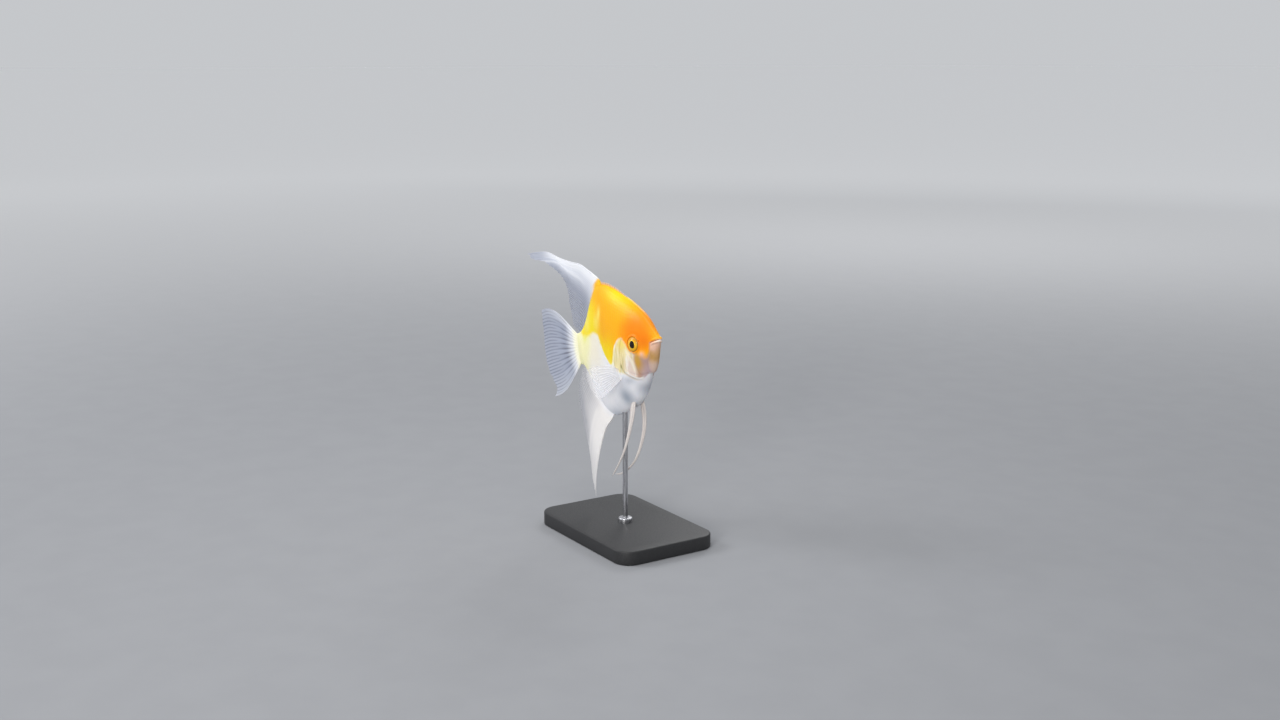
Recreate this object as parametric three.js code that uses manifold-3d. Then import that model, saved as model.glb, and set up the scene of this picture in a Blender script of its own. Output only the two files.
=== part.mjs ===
// Freshwater angelfish, life size, held nose-up above a plain stand by one steel rod.
// Millimetres, +Z up. The fish heads along +X and its right side faces -Y.
// The fish is drawn straight first: x is 0 at the snout and negative towards the tail,
// y is positive to its left, z is up. pose() then bends, tilts and lifts it.
import * as THREE from "three";
import { mergeVertices } from "three/addons/utils/BufferGeometryUtils.js";
import Module from "manifold-3d";

const wasm = await Module();
wasm.setup();

// Driving dimensions
const bodyLength = 84; // snout to the root of the tail fin
const gap = 0.3; // clearance between neighbouring pieces
const bodyRings = 38;
const bodySides = 28;
const noseUp = 14; // degrees
const tailBend = 10; // degrees the tail turns towards the right side
const bendFrom = 0.4; // where the bend starts and ends, in body lengths
const bendTo = 1.3;
const snoutForward = 36; // snout ahead of the rod
const snoutHeight = 120; // snout above the underside of the base

const gillCoverThickness = 1.8;
const stalkCut = 0.915; // where the tail stalk starts, in body lengths

const eyeRadius = 4.6;
const eyeHalfDepth = 2.7;
const eyeAt = [-0.217, 5.6, -0.008]; // body lengths, mm, body lengths
const eyeTurn = 10; // degrees each eye looks forward

const baseLength = 94;
const baseWidth = 62;
const baseHeight = 8;
const baseCorner = 10;
const baseBevel = 0.8;
const rodRadius = 1.5;
const rodFlangeRadius = 4;
const rodFlangeHeight = 2.4;
const rodInBase = 5;
const rodInBody = 6;

// Outline of the body in side view and its half width, all in body lengths.
// Columns: station, back, belly, half width, sharpness of the back, of the belly.
const stations = [
  [0.0, 0.0, -0.004, 0.0, 1.0, 1.0],
  [0.006, 0.009, -0.012, 0.012, 1.0, 1.0],
  [0.03, 0.034, -0.043, 0.022, 1.0, 1.02],
  [0.07, 0.084, -0.124, 0.036, 1.0, 1.02],
  [0.105, 0.131, -0.186, 0.049, 1.02, 0.99],
  [0.135, 0.163, -0.21, 0.06, 1.03, 0.95],
  [0.165, 0.19, -0.214, 0.07, 1.05, 1.0],
  [0.2, 0.216, -0.25, 0.079, 1.06, 0.95],
  [0.25, 0.25, -0.314, 0.089, 1.09, 0.86],
  [0.31, 0.288, -0.373, 0.098, 1.12, 0.81],
  [0.4, 0.334, -0.42, 0.102, 1.18, 0.88],
  [0.49, 0.378, -0.443, 0.098, 1.22, 1.02],
  [0.57, 0.408, -0.459, 0.088, 1.26, 1.12],
  [0.64, 0.422, -0.466, 0.078, 1.3, 1.2],
  [0.71, 0.411, -0.45, 0.066, 1.32, 1.28],
  [0.76, 0.367, -0.418, 0.057, 1.3, 1.3],
  [0.81, 0.3, -0.365, 0.049, 1.26, 1.28],
  [0.85, 0.235, -0.295, 0.042, 1.18, 1.2],
  [0.89, 0.181, -0.21, 0.035, 1.08, 1.12],
  [0.93, 0.146, -0.14, 0.03, 1.0, 1.02],
  [0.965, 0.128, -0.1, 0.0205, 0.97, 0.98],
  [1.0, 0.122, -0.09, 0.0075, 0.95, 0.95],
];

// Side-view outlines of the pieces the body divides into, in body lengths.
const headOutline = [
  [-0.06, 0.5], [0.33, 0.5], [0.338, 0.33], [0.365, 0.19], [0.384, 0.05],
  [0.396, -0.06], [0.396, -0.15], [0.356, -0.215], [0.275, -0.25],
  [0.2, -0.245], [0.165, -0.225], [0.14, -0.3], [-0.06, -0.3],
];
const jawOutline = [
  [-0.06, -0.002], [0.02, -0.004], [0.06, -0.0095], [0.078, -0.016],
  [0.087, -0.05], [0.106, -0.088], [0.134, -0.125], [0.15, -0.17],
  [0.156, -0.225], [0.135, -0.3], [-0.06, -0.3],
];
const gillOutline = [
  [0.306, 0.032], [0.322, 0.026], [0.338, 0.0], [0.352, -0.04], [0.36, -0.09],
  [0.361, -0.135], [0.352, -0.168], [0.335, -0.187], [0.279, -0.219],
  [0.229, -0.236], [0.2, -0.235], [0.185, -0.215], [0.205, -0.15],
  [0.238, -0.085], [0.275, -0.03], [0.294, 0.008],
];

// A smooth curve through the points of one column of a table, without overshoot.
function through(table, column) {
  const last = table.length - 1;
  const slope = table.map((row, i) => {
    if (i === last) {
      return 0;
    }
    return (table[i + 1][column] - row[column]) / (table[i + 1][0] - row[0]);
  });
  const tangent = table.map((row, i) => {
    if (i === 0) {
      return slope[0];
    }
    if (i === last) {
      return slope[last - 1];
    }
    const product = slope[i - 1] * slope[i];
    return product <= 0 ? 0 : (2 * product) / (slope[i - 1] + slope[i]);
  });
  return (x) => {
    let i = 0;
    while (i < last - 1 && x > table[i + 1][0]) {
      i += 1;
    }
    const h = table[i + 1][0] - table[i][0];
    const t = THREE.MathUtils.clamp((x - table[i][0]) / h, 0, 1);
    const rise = t * t * (3 - 2 * t);
    const start = t * (1 - t) * (1 - t) * h;
    const end = t * t * (t - 1) * h;
    const value = table[i][column] * (1 - rise) + table[i + 1][column] * rise;
    return value + tangent[i] * start + tangent[i + 1] * end;
  };
}

const back = through(stations, 1);
const belly = through(stations, 2);
const halfWidth = through(stations, 3);
const backSharpness = through(stations, 4);
const bellySharpness = through(stations, 5);

// Closed solid from a list of corner points and triangles.
function solidFrom(points, triangles) {
  const geometry = new THREE.BufferGeometry();
  geometry.setAttribute("position", new THREE.Float32BufferAttribute(points.flat(), 3));
  geometry.setIndex(triangles.flat());
  return solidOf(geometry);
}

function solidOf(geometry) {
  const bare = geometry.clone();
  bare.deleteAttribute("normal");
  bare.deleteAttribute("uv");
  const merged = mergeVertices(bare, 1e-4);
  return new wasm.Manifold(
    new wasm.Mesh({
      numProp: 3,
      vertProperties: new Float32Array(merged.attributes.position.array),
      triVerts: new Uint32Array(merged.index.array),
    }),
  );
}

function geometryOf(solid) {
  const mesh = solid.getMesh();
  const geometry = new THREE.BufferGeometry();
  const positions = new Float32Array(mesh.vertProperties);
  geometry.setAttribute("position", new THREE.BufferAttribute(positions, 3));
  geometry.setIndex(new THREE.BufferAttribute(new Uint32Array(mesh.triVerts), 1));
  return geometry;
}

// The whole body as rings from nose to tail, its skin moved out by "out" mm.
function bodySolid(out) {
  const points = [[out, 0, 0]];
  const triangles = [];
  for (let i = 1; i <= bodyRings; i += 1) {
    const s = Math.pow(i / bodyRings, 1.35);
    const x = out - (bodyLength + 2 * out) * s;
    const top = Math.max(back(s) * bodyLength + out, 0.15);
    const bottom = Math.max(-belly(s) * bodyLength + out, 0.15);
    const wide = Math.max(halfWidth(s) * bodyLength + out, 0.15);
    for (let j = 0; j < bodySides; j += 1) {
      const angle = (2 * Math.PI * j) / bodySides;
      const across = Math.cos(angle);
      const up = Math.sin(angle);
      const sharp = up > 0 ? backSharpness(s) : bellySharpness(s);
      const y = wide * Math.sign(across) * Math.pow(Math.abs(across), sharp);
      points.push([x, Math.abs(across) < 1e-9 ? 0 : y, up * (up > 0 ? top : bottom)]);
    }
  }
  const tailCentre = points.length;
  points.push([-bodyLength - out, 0, 0.016 * bodyLength]);
  for (let j = 0; j < bodySides; j += 1) {
    const next = (j + 1) % bodySides;
    triangles.push([0, 1 + j, 1 + next]);
    for (let i = 0; i < bodyRings - 1; i += 1) {
      const a = 1 + i * bodySides;
      const b = a + bodySides;
      triangles.push([a + j, b + j, b + next], [a + j, b + next, a + next]);
    }
    const rim = 1 + (bodyRings - 1) * bodySides;
    triangles.push([rim + j, tailCentre, rim + next]);
  }
  return solidFrom(points, triangles);
}

// A side-view outline moved outwards by "out" mm and pushed through from y0 to y1.
function sidePrism(outline, out, y0, y1) {
  const corners = outline.map(([s, z]) => new THREE.Vector2(-s * bodyLength, z * bodyLength));
  if (THREE.ShapeUtils.isClockWise(corners)) {
    corners.reverse();
  }
  const count = corners.length;
  const moved = corners.map((corner, i) => {
    const before = corners[(i + count - 1) % count];
    const after = corners[(i + 1) % count];
    const first = corner.clone().sub(before).normalize();
    const second = after.clone().sub(corner).normalize();
    const sum = new THREE.Vector2(first.y + second.y, -first.x - second.x);
    const stretch = 2 / Math.max(sum.lengthSq(), 0.8);
    return corner.clone().add(sum.multiplyScalar(stretch * out));
  });
  const geometry = new THREE.ExtrudeGeometry(new THREE.Shape(moved), {
    depth: y1 - y0,
    bevelEnabled: false,
    steps: 1,
  });
  geometry.rotateX(Math.PI / 2);
  geometry.translate(0, y1, 0);
  return solidOf(geometry);
}

// A thin sheet of rays: grid[i][j] is ray i at step j, thick(i, j) its thickness.
function sheetSolid(grid, thick) {
  const rays = grid.length;
  const steps = grid[0].length;
  const points = [];
  const triangles = [];
  const index = (side, i, j) => side * rays * steps + i * steps + j;
  for (const side of [1, -1]) {
    for (let i = 0; i < rays; i += 1) {
      for (let j = 0; j < steps; j += 1) {
        const across = new THREE.Vector3().subVectors(
          grid[Math.min(i + 1, rays - 1)][j],
          grid[Math.max(i - 1, 0)][j],
        );
        const along = new THREE.Vector3().subVectors(
          grid[i][Math.min(j + 1, steps - 1)],
          grid[i][Math.max(j - 1, 0)],
        );
        const normal = new THREE.Vector3().crossVectors(across, along).normalize();
        const half = 0.5 * thick(i / (rays - 1), j / (steps - 1));
        const at = grid[i][j].clone().addScaledVector(normal, side * half);
        points.push([at.x, at.y, at.z]);
      }
    }
  }
  const quad = (a, b, c, d) => triangles.push([a, b, c], [a, c, d]);
  for (let i = 0; i < rays - 1; i += 1) {
    for (let j = 0; j < steps - 1; j += 1) {
      quad(index(0, i, j), index(0, i + 1, j), index(0, i + 1, j + 1), index(0, i, j + 1));
      quad(index(1, i, j), index(1, i, j + 1), index(1, i + 1, j + 1), index(1, i + 1, j));
    }
    quad(index(0, i, 0), index(1, i, 0), index(1, i + 1, 0), index(0, i + 1, 0));
    const end = steps - 1;
    quad(index(0, i, end), index(0, i + 1, end), index(1, i + 1, end), index(1, i, end));
  }
  for (let j = 0; j < steps - 1; j += 1) {
    quad(index(0, 0, j), index(0, 0, j + 1), index(1, 0, j + 1), index(1, 0, j));
    const end = rays - 1;
    quad(index(0, end, j), index(1, end, j), index(1, end, j + 1), index(0, end, j + 1));
  }
  return solidFrom(points, triangles);
}

// A fin between four edges, in side view and body lengths: front and rear rays run from
// the root outwards, root and margin run from the front ray to the rear ray.
function finGrid(edges, rays, steps, sideways) {
  const curves = {};
  for (const [name, points] of Object.entries(edges)) {
    curves[name] = new THREE.SplineCurve(points.map(([s, z]) => new THREE.Vector2(s, z)));
  }
  const at = (curve, t) => curves[curve].getPointAt(t);
  const grid = [];
  for (let i = 0; i <= rays; i += 1) {
    const u = i / rays;
    const column = [];
    for (let j = 0; j <= steps; j += 1) {
      const v = j / steps;
      const place = new THREE.Vector2();
      place.addScaledVector(at("front", v), 1 - u);
      place.addScaledVector(at("rear", v), u);
      place.addScaledVector(at("root", u), 1 - v);
      place.addScaledVector(at("margin", u), v);
      place.addScaledVector(at("root", 0), -(1 - u) * (1 - v));
      place.addScaledVector(at("root", 1), -u * (1 - v));
      place.addScaledVector(at("margin", 0), -(1 - u) * v);
      place.addScaledVector(at("margin", 1), -u * v);
      const y = sideways(u, v);
      column.push(new THREE.Vector3(-place.x * bodyLength, y, place.y * bodyLength));
    }
    grid.push(column);
  }
  return grid;
}

// A tapering strand along a curve, wide in the side view and thin across it.
function strandSolid(curve, steps, sides, wide, thin) {
  const points = [];
  const triangles = [];
  for (let i = 0; i <= steps; i += 1) {
    const t = i / steps;
    const centre = curve.getPointAt(t);
    const tangent = curve.getTangentAt(t);
    const broad = new THREE.Vector3(tangent.z, 0, -tangent.x).normalize();
    const flat = new THREE.Vector3().crossVectors(tangent, broad);
    for (let j = 0; j < sides; j += 1) {
      const angle = (2 * Math.PI * j) / sides;
      const at = centre.clone();
      at.addScaledVector(broad, Math.cos(angle) * wide(t));
      at.addScaledVector(flat, Math.sin(angle) * thin(t));
      points.push([at.x, at.y, at.z]);
    }
  }
  for (let i = 0; i < steps; i += 1) {
    for (let j = 0; j < sides; j += 1) {
      const next = (j + 1) % sides;
      const a = i * sides;
      const b = a + sides;
      triangles.push([a + j, a + next, b + next], [a + j, b + next, b + j]);
    }
  }
  for (let j = 1; j < sides - 1; j += 1) {
    const end = steps * sides;
    triangles.push([0, j + 1, j], [end, end + j, end + j + 1]);
  }
  return solidFrom(points, triangles);
}

// Where the straight fish's points end up: bent, nose up, and above the stand.
function pose(solid) {
  const geometry = geometryOf(solid);
  const position = geometry.attributes.position;
  const tilt = THREE.MathUtils.degToRad(noseUp);
  for (let i = 0; i < position.count; i += 1) {
    const spine = centreline(-position.getX(i) / bodyLength);
    const y = position.getY(i);
    const z = position.getZ(i);
    const x = spine.x - y * Math.sin(spine.turn);
    position.setXYZ(
      i,
      snoutForward + x * Math.cos(tilt) - z * Math.sin(tilt),
      spine.y + y * Math.cos(spine.turn),
      snoutHeight + x * Math.sin(tilt) + z * Math.cos(tilt),
    );
  }
  return geometry;
}

function turnAt(s) {
  const t = THREE.MathUtils.clamp((s - bendFrom) / (bendTo - bendFrom), 0, 1);
  return THREE.MathUtils.degToRad(tailBend) * t * t * (3 - 2 * t);
}

function centreline(s) {
  const spine = { x: -Math.min(s, bendFrom) * bodyLength, y: 0, turn: turnAt(s) };
  const steps = 24;
  const step = Math.max(s - bendFrom, 0) / steps;
  for (let i = 0; i < steps; i += 1) {
    const turn = turnAt(bendFrom + (i + 0.5) * step);
    spine.x -= Math.cos(turn) * step * bodyLength;
    spine.y -= Math.sin(turn) * step * bodyLength;
  }
  return spine;
}

// Body, divided
const whole = bodySolid(0);
const clearBody = bodySolid(gap + 0.1);
const inner = bodySolid(-gillCoverThickness);
const innerClear = bodySolid(-gillCoverThickness - gap);
const far = 40;

const headPrism = sidePrism(headOutline, 0, -far, far);
const jawPrism = sidePrism(jawOutline, 0, -far, far);
const headOutside = sidePrism(headOutline, gap, -far, far);
const jawOutside = sidePrism(jawOutline, gap, -far, far);
const stalkOutline = [
  [stalkCut, 0.5],
  [1.2, 0.5],
  [1.2, -0.5],
  [stalkCut, -0.5],
];
const stalkPrism = sidePrism(stalkOutline, 0, -far, far);
const stalkOutside = sidePrism(stalkOutline, gap, -far, far);

const lowerJaw = whole.intersect(headPrism).intersect(jawPrism);
const trunk = whole.subtract(headOutside).subtract(stalkOutside);
const tailStalk = whole.intersect(stalkPrism);

function gillCover(side) {
  const [y0, y1] = side > 0 ? [0, far] : [-far, 0];
  return whole.intersect(sidePrism(gillOutline, 0, y0, y1)).subtract(inner);
}

function eyeball(side, out) {
  const geometry = new THREE.SphereGeometry(1, 16, 10);
  geometry.rotateX(Math.PI / 2);
  geometry.scale(eyeRadius + out, eyeHalfDepth + out, eyeRadius + out);
  geometry.rotateZ(-side * THREE.MathUtils.degToRad(eyeTurn));
  geometry.translate(eyeAt[0] * bodyLength, side * eyeAt[1], eyeAt[2] * bodyLength);
  return solidOf(geometry);
}

const gillRoom = sidePrism(gillOutline, gap, -far, far).subtract(innerClear);
let head = whole.intersect(headPrism).subtract(jawOutside).subtract(gillRoom);
for (const side of [1, -1]) {
  head = head.subtract(eyeball(side, gap));
}

// Fins
const softDorsalEdges = {
  front: [[0.64, 0.4], [0.652, 0.448], [0.674, 0.47], [0.71, 0.495], [0.79, 0.544],
    [0.87, 0.592], [0.97, 0.622], [1.09, 0.667], [1.2, 0.722], [1.305, 0.738],
    [1.43, 0.742]],
  margin: [[1.43, 0.742], [1.37, 0.696], [1.243, 0.66], [1.132, 0.592], [1.05, 0.51],
    [1.02, 0.42], [1.018, 0.35], [1.002, 0.26], [0.997, 0.18]],
  rear: [[0.945, 0.12], [0.972, 0.145], [0.997, 0.18]],
  root: [[0.64, 0.4], [0.75, 0.355], [0.825, 0.26], [0.88, 0.175], [0.945, 0.12]],
};
const analEdges = {
  front: [[0.665, -0.44], [0.73, -0.495], [0.805, -0.545], [0.877, -0.63], [0.945, -0.74],
    [0.997, -0.85], [1.028, -0.94], [1.048, -1.026]],
  margin: [[1.048, -1.026], [1.065, -0.93], [1.068, -0.78], [1.073, -0.62], [1.083, -0.48],
    [1.1, -0.35], [1.09, -0.24], [1.045, -0.16]],
  rear: [[0.95, -0.085], [0.99, -0.115], [1.045, -0.16]],
  root: [[0.665, -0.44], [0.76, -0.4], [0.84, -0.295], [0.9, -0.18], [0.95, -0.085]],
};
const caudalEdges = {
  front: [[0.985, 0.105], [1.04, 0.15], [1.12, 0.226], [1.2, 0.293], [1.29, 0.332],
    [1.368, 0.328]],
  margin: [[1.368, 0.328], [1.38, 0.26], [1.39, 0.16], [1.399, 0.06], [1.392, -0.04],
    [1.355, -0.13], [1.315, -0.2], [1.298, -0.25], [1.33, -0.297]],
  rear: [[0.985, -0.075], [1.05, -0.135], [1.12, -0.197], [1.19, -0.255], [1.26, -0.286],
    [1.33, -0.297]],
  root: [[0.985, 0.105], [0.99, 0.015], [0.985, -0.075]],
};

const fold = (turn, v) => 0.4 * Math.sin(turn) * v;
const dorsalSway = (u, v) => {
  return -1.6 * v * v + 0.5 * Math.sin(4 * v + 2 * u) * v + fold(9 * u + 2 * v, v);
};
const analSway = (u, v) => {
  return 1.2 * v * v + 0.5 * Math.sin(3 * v - 2 * u) * v + fold(8 * u - v, v);
};
const caudalSway = (u, v) => 0.9 * Math.sin(5 * u) * v * v;
const finThickness = (u, v) => 0.55 + 0.85 * (1 - v) * (1 - 0.4 * u) + 0.35 * Math.exp(-12 * u);

const softDorsal = sheetSolid(finGrid(softDorsalEdges, 12, 9, dorsalSway), finThickness);
const anal = sheetSolid(finGrid(analEdges, 11, 10, analSway), finThickness);
const caudal = sheetSolid(finGrid(caudalEdges, 13, 6, caudalSway), finThickness);

// Low spines along the back in front of the soft fin
const spineCount = 11;
const spinesFrom = 0.335;
const spinesTo = 0.634;

function spinyGrid() {
  const grid = [];
  for (let i = 0; i <= 2 * spineCount; i += 1) {
    const t = i / (2 * spineCount);
    const s = spinesFrom + (spinesTo - spinesFrom) * t;
    const crest = 0.006 + 0.015 * THREE.MathUtils.smoothstep(t, 0, 0.35);
    const tall = crest * (i % 2 === 1 ? 1 : 0.82);
    const lean = 0.45 * tall;
    const column = [-0.03, 0.4, 1].map((rise) => {
      const climb = rise < 0 ? rise : rise * tall;
      const at = s + Math.max(climb, 0) * (lean / tall);
      return new THREE.Vector3(-at * bodyLength, 0, (back(s) + climb) * bodyLength);
    });
    grid.push(column);
  }
  return grid;
}

const spinyDorsal = sheetSolid(spinyGrid(), (u, v) => 1.1 - 0.5 * v);

// Pectoral fins: fans of rays from behind each gill cover, spread a little outwards
const pectoralEdges = {
  front: [[0.385, -0.158], [0.48, -0.135], [0.6, -0.122], [0.705, -0.132]],
  margin: [[0.705, -0.132], [0.722, -0.168], [0.71, -0.22], [0.68, -0.275],
    [0.637, -0.32], [0.592, -0.338], [0.55, -0.335]],
  rear: [[0.39, -0.222], [0.43, -0.252], [0.485, -0.292], [0.55, -0.335]],
  root: [[0.385, -0.158], [0.383, -0.19], [0.39, -0.222]],
};

function pectoral(side) {
  const sway = (u, v) => side * (7.3 + 6.2 * v + 0.8 * Math.sin(Math.PI * u) * v);
  const grid = finGrid(pectoralEdges, 8, 5, sway);
  if (side > 0) {
    grid.reverse();
  }
  return sheetSolid(grid, (u, v) => 1.2 - 0.65 * v);
}

// Pelvic fins: long trailing strands under the breast
const rightPelvicPath = [
  [0.372, -2.6, -0.375], [0.385, -3.4, -0.43], [0.42, -3.6, -0.51], [0.494, -3.7, -0.626],
  [0.575, -3.8, -0.726], [0.672, -3.7, -0.813], [0.75, -3.6, -0.873],
];
const leftPelvicPath = [
  [0.375, 2.6, -0.375], [0.384, 3.4, -0.43], [0.392, 3.6, -0.51], [0.424, 3.7, -0.594],
  [0.49, 3.8, -0.69], [0.578, 3.7, -0.782], [0.675, 3.5, -0.84], [0.755, 3.3, -0.868],
  [0.83, 3.2, -0.872],
];

function pelvic(path) {
  const places = path.map(
    ([s, y, z]) => new THREE.Vector3(-s * bodyLength, y, z * bodyLength),
  );
  const curve = new THREE.CatmullRomCurve3(places);
  const wide = (t) => 0.45 + 2.4 * Math.pow(1 - t, 2.1) * Math.min(1, 0.55 + 4 * t);
  const thin = (t) => 0.34 + 0.4 * (1 - t);
  return strandSolid(curve, 22, 6, wide, thin);
}

// Stand
function standBase() {
  const shape = new THREE.Shape();
  const x = baseLength / 2 - baseBevel;
  const y = baseWidth / 2 - baseBevel;
  const r = baseCorner - baseBevel;
  shape.moveTo(-x + r, -y);
  shape.lineTo(x - r, -y);
  shape.absarc(x - r, -y + r, r, -Math.PI / 2, 0, false);
  shape.lineTo(x, y - r);
  shape.absarc(x - r, y - r, r, 0, Math.PI / 2, false);
  shape.lineTo(-x + r, y);
  shape.absarc(-x + r, y - r, r, Math.PI / 2, Math.PI, false);
  shape.lineTo(-x, -y + r);
  shape.absarc(-x + r, -y + r, r, Math.PI, 1.5 * Math.PI, false);
  const geometry = new THREE.ExtrudeGeometry(shape, {
    depth: baseHeight - 2 * baseBevel,
    bevelEnabled: true,
    bevelThickness: baseBevel,
    bevelSize: baseBevel,
    bevelSegments: 1,
    curveSegments: 6,
  });
  geometry.translate(0, 0, baseBevel);
  const hole = new THREE.CylinderGeometry(
    rodRadius + gap, rodRadius + gap, rodInBase + gap + 1, 20,
  );
  hole.rotateX(Math.PI / 2);
  hole.translate(0, 0, baseHeight + 1 - (rodInBase + gap + 1) / 2);
  return solidOf(geometry).subtract(solidOf(hole));
}

const rodBottom = baseHeight - rodInBase;
const flangeBottom = baseHeight + gap;
const rodX = 0;

// The height at which the rod meets the belly, under the point where x is 0.
function bellyHeight() {
  const tilt = THREE.MathUtils.degToRad(noseUp);
  let height = 0;
  for (let s = 0.4; s < 0.7; s += 0.001) {
    const spine = centreline(s);
    const z = belly(s) * bodyLength;
    const x = snoutForward + spine.x * Math.cos(tilt) - z * Math.sin(tilt);
    if (x >= rodX) {
      height = snoutHeight + spine.x * Math.sin(tilt) + z * Math.cos(tilt);
    }
  }
  return height;
}

const rodTop = bellyHeight() + rodInBody;

function rod(out) {
  const lift = out > 0 ? gap : 0;
  const profile = [
    [0, rodBottom - lift],
    [rodRadius - 0.3, rodBottom - lift],
    [rodRadius + out, rodBottom + 0.3],
    [rodRadius + out, flangeBottom],
    [rodFlangeRadius - 0.4 + out, flangeBottom],
    [rodFlangeRadius + out, flangeBottom + 0.4],
    [rodFlangeRadius + out, flangeBottom + rodFlangeHeight - 0.6],
    [rodFlangeRadius - 0.6 + out, flangeBottom + rodFlangeHeight],
    [rodRadius + out, flangeBottom + rodFlangeHeight],
    [rodRadius + out, rodTop - 0.4],
    [rodRadius - 0.4 + out, rodTop + lift],
    [0, rodTop + lift],
  ];
  const geometry = new THREE.LatheGeometry(
    profile.map(([r, z]) => new THREE.Vector2(r, z)),
    20,
  );
  geometry.rotateX(Math.PI / 2);
  geometry.translate(rodX, 0, 0);
  return solidOf(geometry);
}

// Assembly
const paints = {
  orange: { color: 0xf59a12, roughness: 0.42, metalness: 0 },
  pearl: { color: 0xe9e6ea, roughness: 0.4, metalness: 0 },
  blush: { color: 0xd9b8a8, roughness: 0.45, metalness: 0 },
  cream: { color: 0xe6d9a2, roughness: 0.4, metalness: 0 },
  fin: { color: 0xdfe3ea, roughness: 0.5, metalness: 0 },
  iris: { color: 0xd9930f, roughness: 0.08, metalness: 0 },
  black: { color: 0x1b1b1c, roughness: 0.6, metalness: 0 },
  steel: { color: 0xa9abae, roughness: 0.28, metalness: 1 },
};

const group = new THREE.Group();

function add(name, geometry, paint) {
  geometry.computeVertexNormals();
  const material = new THREE.MeshStandardMaterial(paints[paint]);
  const mesh = new THREE.Mesh(geometry, material);
  mesh.name = name;
  group.add(mesh);
}

const posedTrunk = solidOf(pose(trunk)).subtract(rod(gap));
add("head", pose(head), "orange");
add("lower_jaw", pose(lowerJaw), "blush");
add("trunk", geometryOf(posedTrunk), "pearl");
add("tail_stalk", pose(tailStalk), "cream");
for (const [name, side] of [["left", 1], ["right", -1]]) {
  add("gill_cover_" + name, pose(gillCover(side)), "cream");
  add("eye_" + name, pose(eyeball(side, 0)), "iris");
  add("pectoral_fin_" + name, pose(pectoral(side).subtract(clearBody)), "fin");
}
add("dorsal_fin_spiny", pose(spinyDorsal.subtract(clearBody)), "fin");
add("dorsal_fin_soft", pose(softDorsal.subtract(clearBody)), "fin");
add("anal_fin", pose(anal.subtract(clearBody)), "fin");
add("caudal_fin", pose(caudal.subtract(clearBody)), "fin");
add("pelvic_fin_left", pose(pelvic(leftPelvicPath).subtract(clearBody)), "fin");
add("pelvic_fin_right", pose(pelvic(rightPelvicPath).subtract(clearBody)), "fin");
add("stand_base", geometryOf(standBase()), "black");
add("stand_rod", geometryOf(rod(0)), "steel");

export default group;
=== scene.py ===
import math
import bpy
import numpy as np
from mathutils import Euler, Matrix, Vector


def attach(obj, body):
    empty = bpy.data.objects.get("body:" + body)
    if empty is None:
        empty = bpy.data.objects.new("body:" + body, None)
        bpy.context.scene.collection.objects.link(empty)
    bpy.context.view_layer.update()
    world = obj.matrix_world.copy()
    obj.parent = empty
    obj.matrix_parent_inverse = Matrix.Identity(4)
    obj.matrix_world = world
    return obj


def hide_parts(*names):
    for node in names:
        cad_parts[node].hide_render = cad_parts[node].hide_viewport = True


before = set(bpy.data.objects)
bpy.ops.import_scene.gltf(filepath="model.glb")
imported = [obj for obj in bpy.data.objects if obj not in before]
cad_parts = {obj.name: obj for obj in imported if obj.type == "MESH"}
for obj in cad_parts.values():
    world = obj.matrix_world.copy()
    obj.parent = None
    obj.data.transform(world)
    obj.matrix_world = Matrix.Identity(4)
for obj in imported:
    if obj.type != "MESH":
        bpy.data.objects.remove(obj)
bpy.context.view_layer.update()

# The fish is worked out straight and level first, in body lengths from the snout
# (s back, z up) and metres across (y, left is positive), then posed as the solids are.
fish = {
    "length": 0.084,
    "noseUp": 14.0,
    "tailBend": 10.0,
    "bend": (0.4, 1.3),  # from where to where it turns
    "snout": (0.036, 0.0, 0.120),
}
millimetre = 0.001
bodyMm = fish["length"] * 1000  # one body length in millimetres
toMetres = np.array([-fish["length"], 1.0, fish["length"]])  # of s, y, z: ahead, left, up

# station, back, belly, half width, sharpness of the back, of the belly
stations = [
    (0.0, 0.0, -0.004, 0.0, 1.0, 1.0),
    (0.006, 0.009, -0.012, 0.012, 1.0, 1.0),
    (0.03, 0.034, -0.043, 0.022, 1.0, 1.02),
    (0.07, 0.084, -0.124, 0.036, 1.0, 1.02),
    (0.105, 0.131, -0.186, 0.049, 1.02, 0.99),
    (0.135, 0.163, -0.21, 0.06, 1.03, 0.95),
    (0.165, 0.19, -0.214, 0.07, 1.05, 1.0),
    (0.2, 0.216, -0.25, 0.079, 1.06, 0.95),
    (0.25, 0.25, -0.314, 0.089, 1.09, 0.86),
    (0.31, 0.288, -0.373, 0.098, 1.12, 0.81),
    (0.4, 0.334, -0.42, 0.102, 1.18, 0.88),
    (0.49, 0.378, -0.443, 0.098, 1.22, 1.02),
    (0.57, 0.408, -0.459, 0.088, 1.26, 1.12),
    (0.64, 0.422, -0.466, 0.078, 1.3, 1.2),
    (0.71, 0.411, -0.45, 0.066, 1.32, 1.28),
    (0.76, 0.367, -0.418, 0.057, 1.3, 1.3),
    (0.81, 0.3, -0.365, 0.049, 1.26, 1.28),
    (0.85, 0.235, -0.295, 0.042, 1.18, 1.2),
    (0.89, 0.181, -0.21, 0.035, 1.08, 1.12),
    (0.93, 0.146, -0.14, 0.03, 1.0, 1.02),
    (0.965, 0.128, -0.1, 0.0205, 0.97, 0.98),
    (1.0, 0.122, -0.09, 0.0075, 0.95, 0.95),
]


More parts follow.
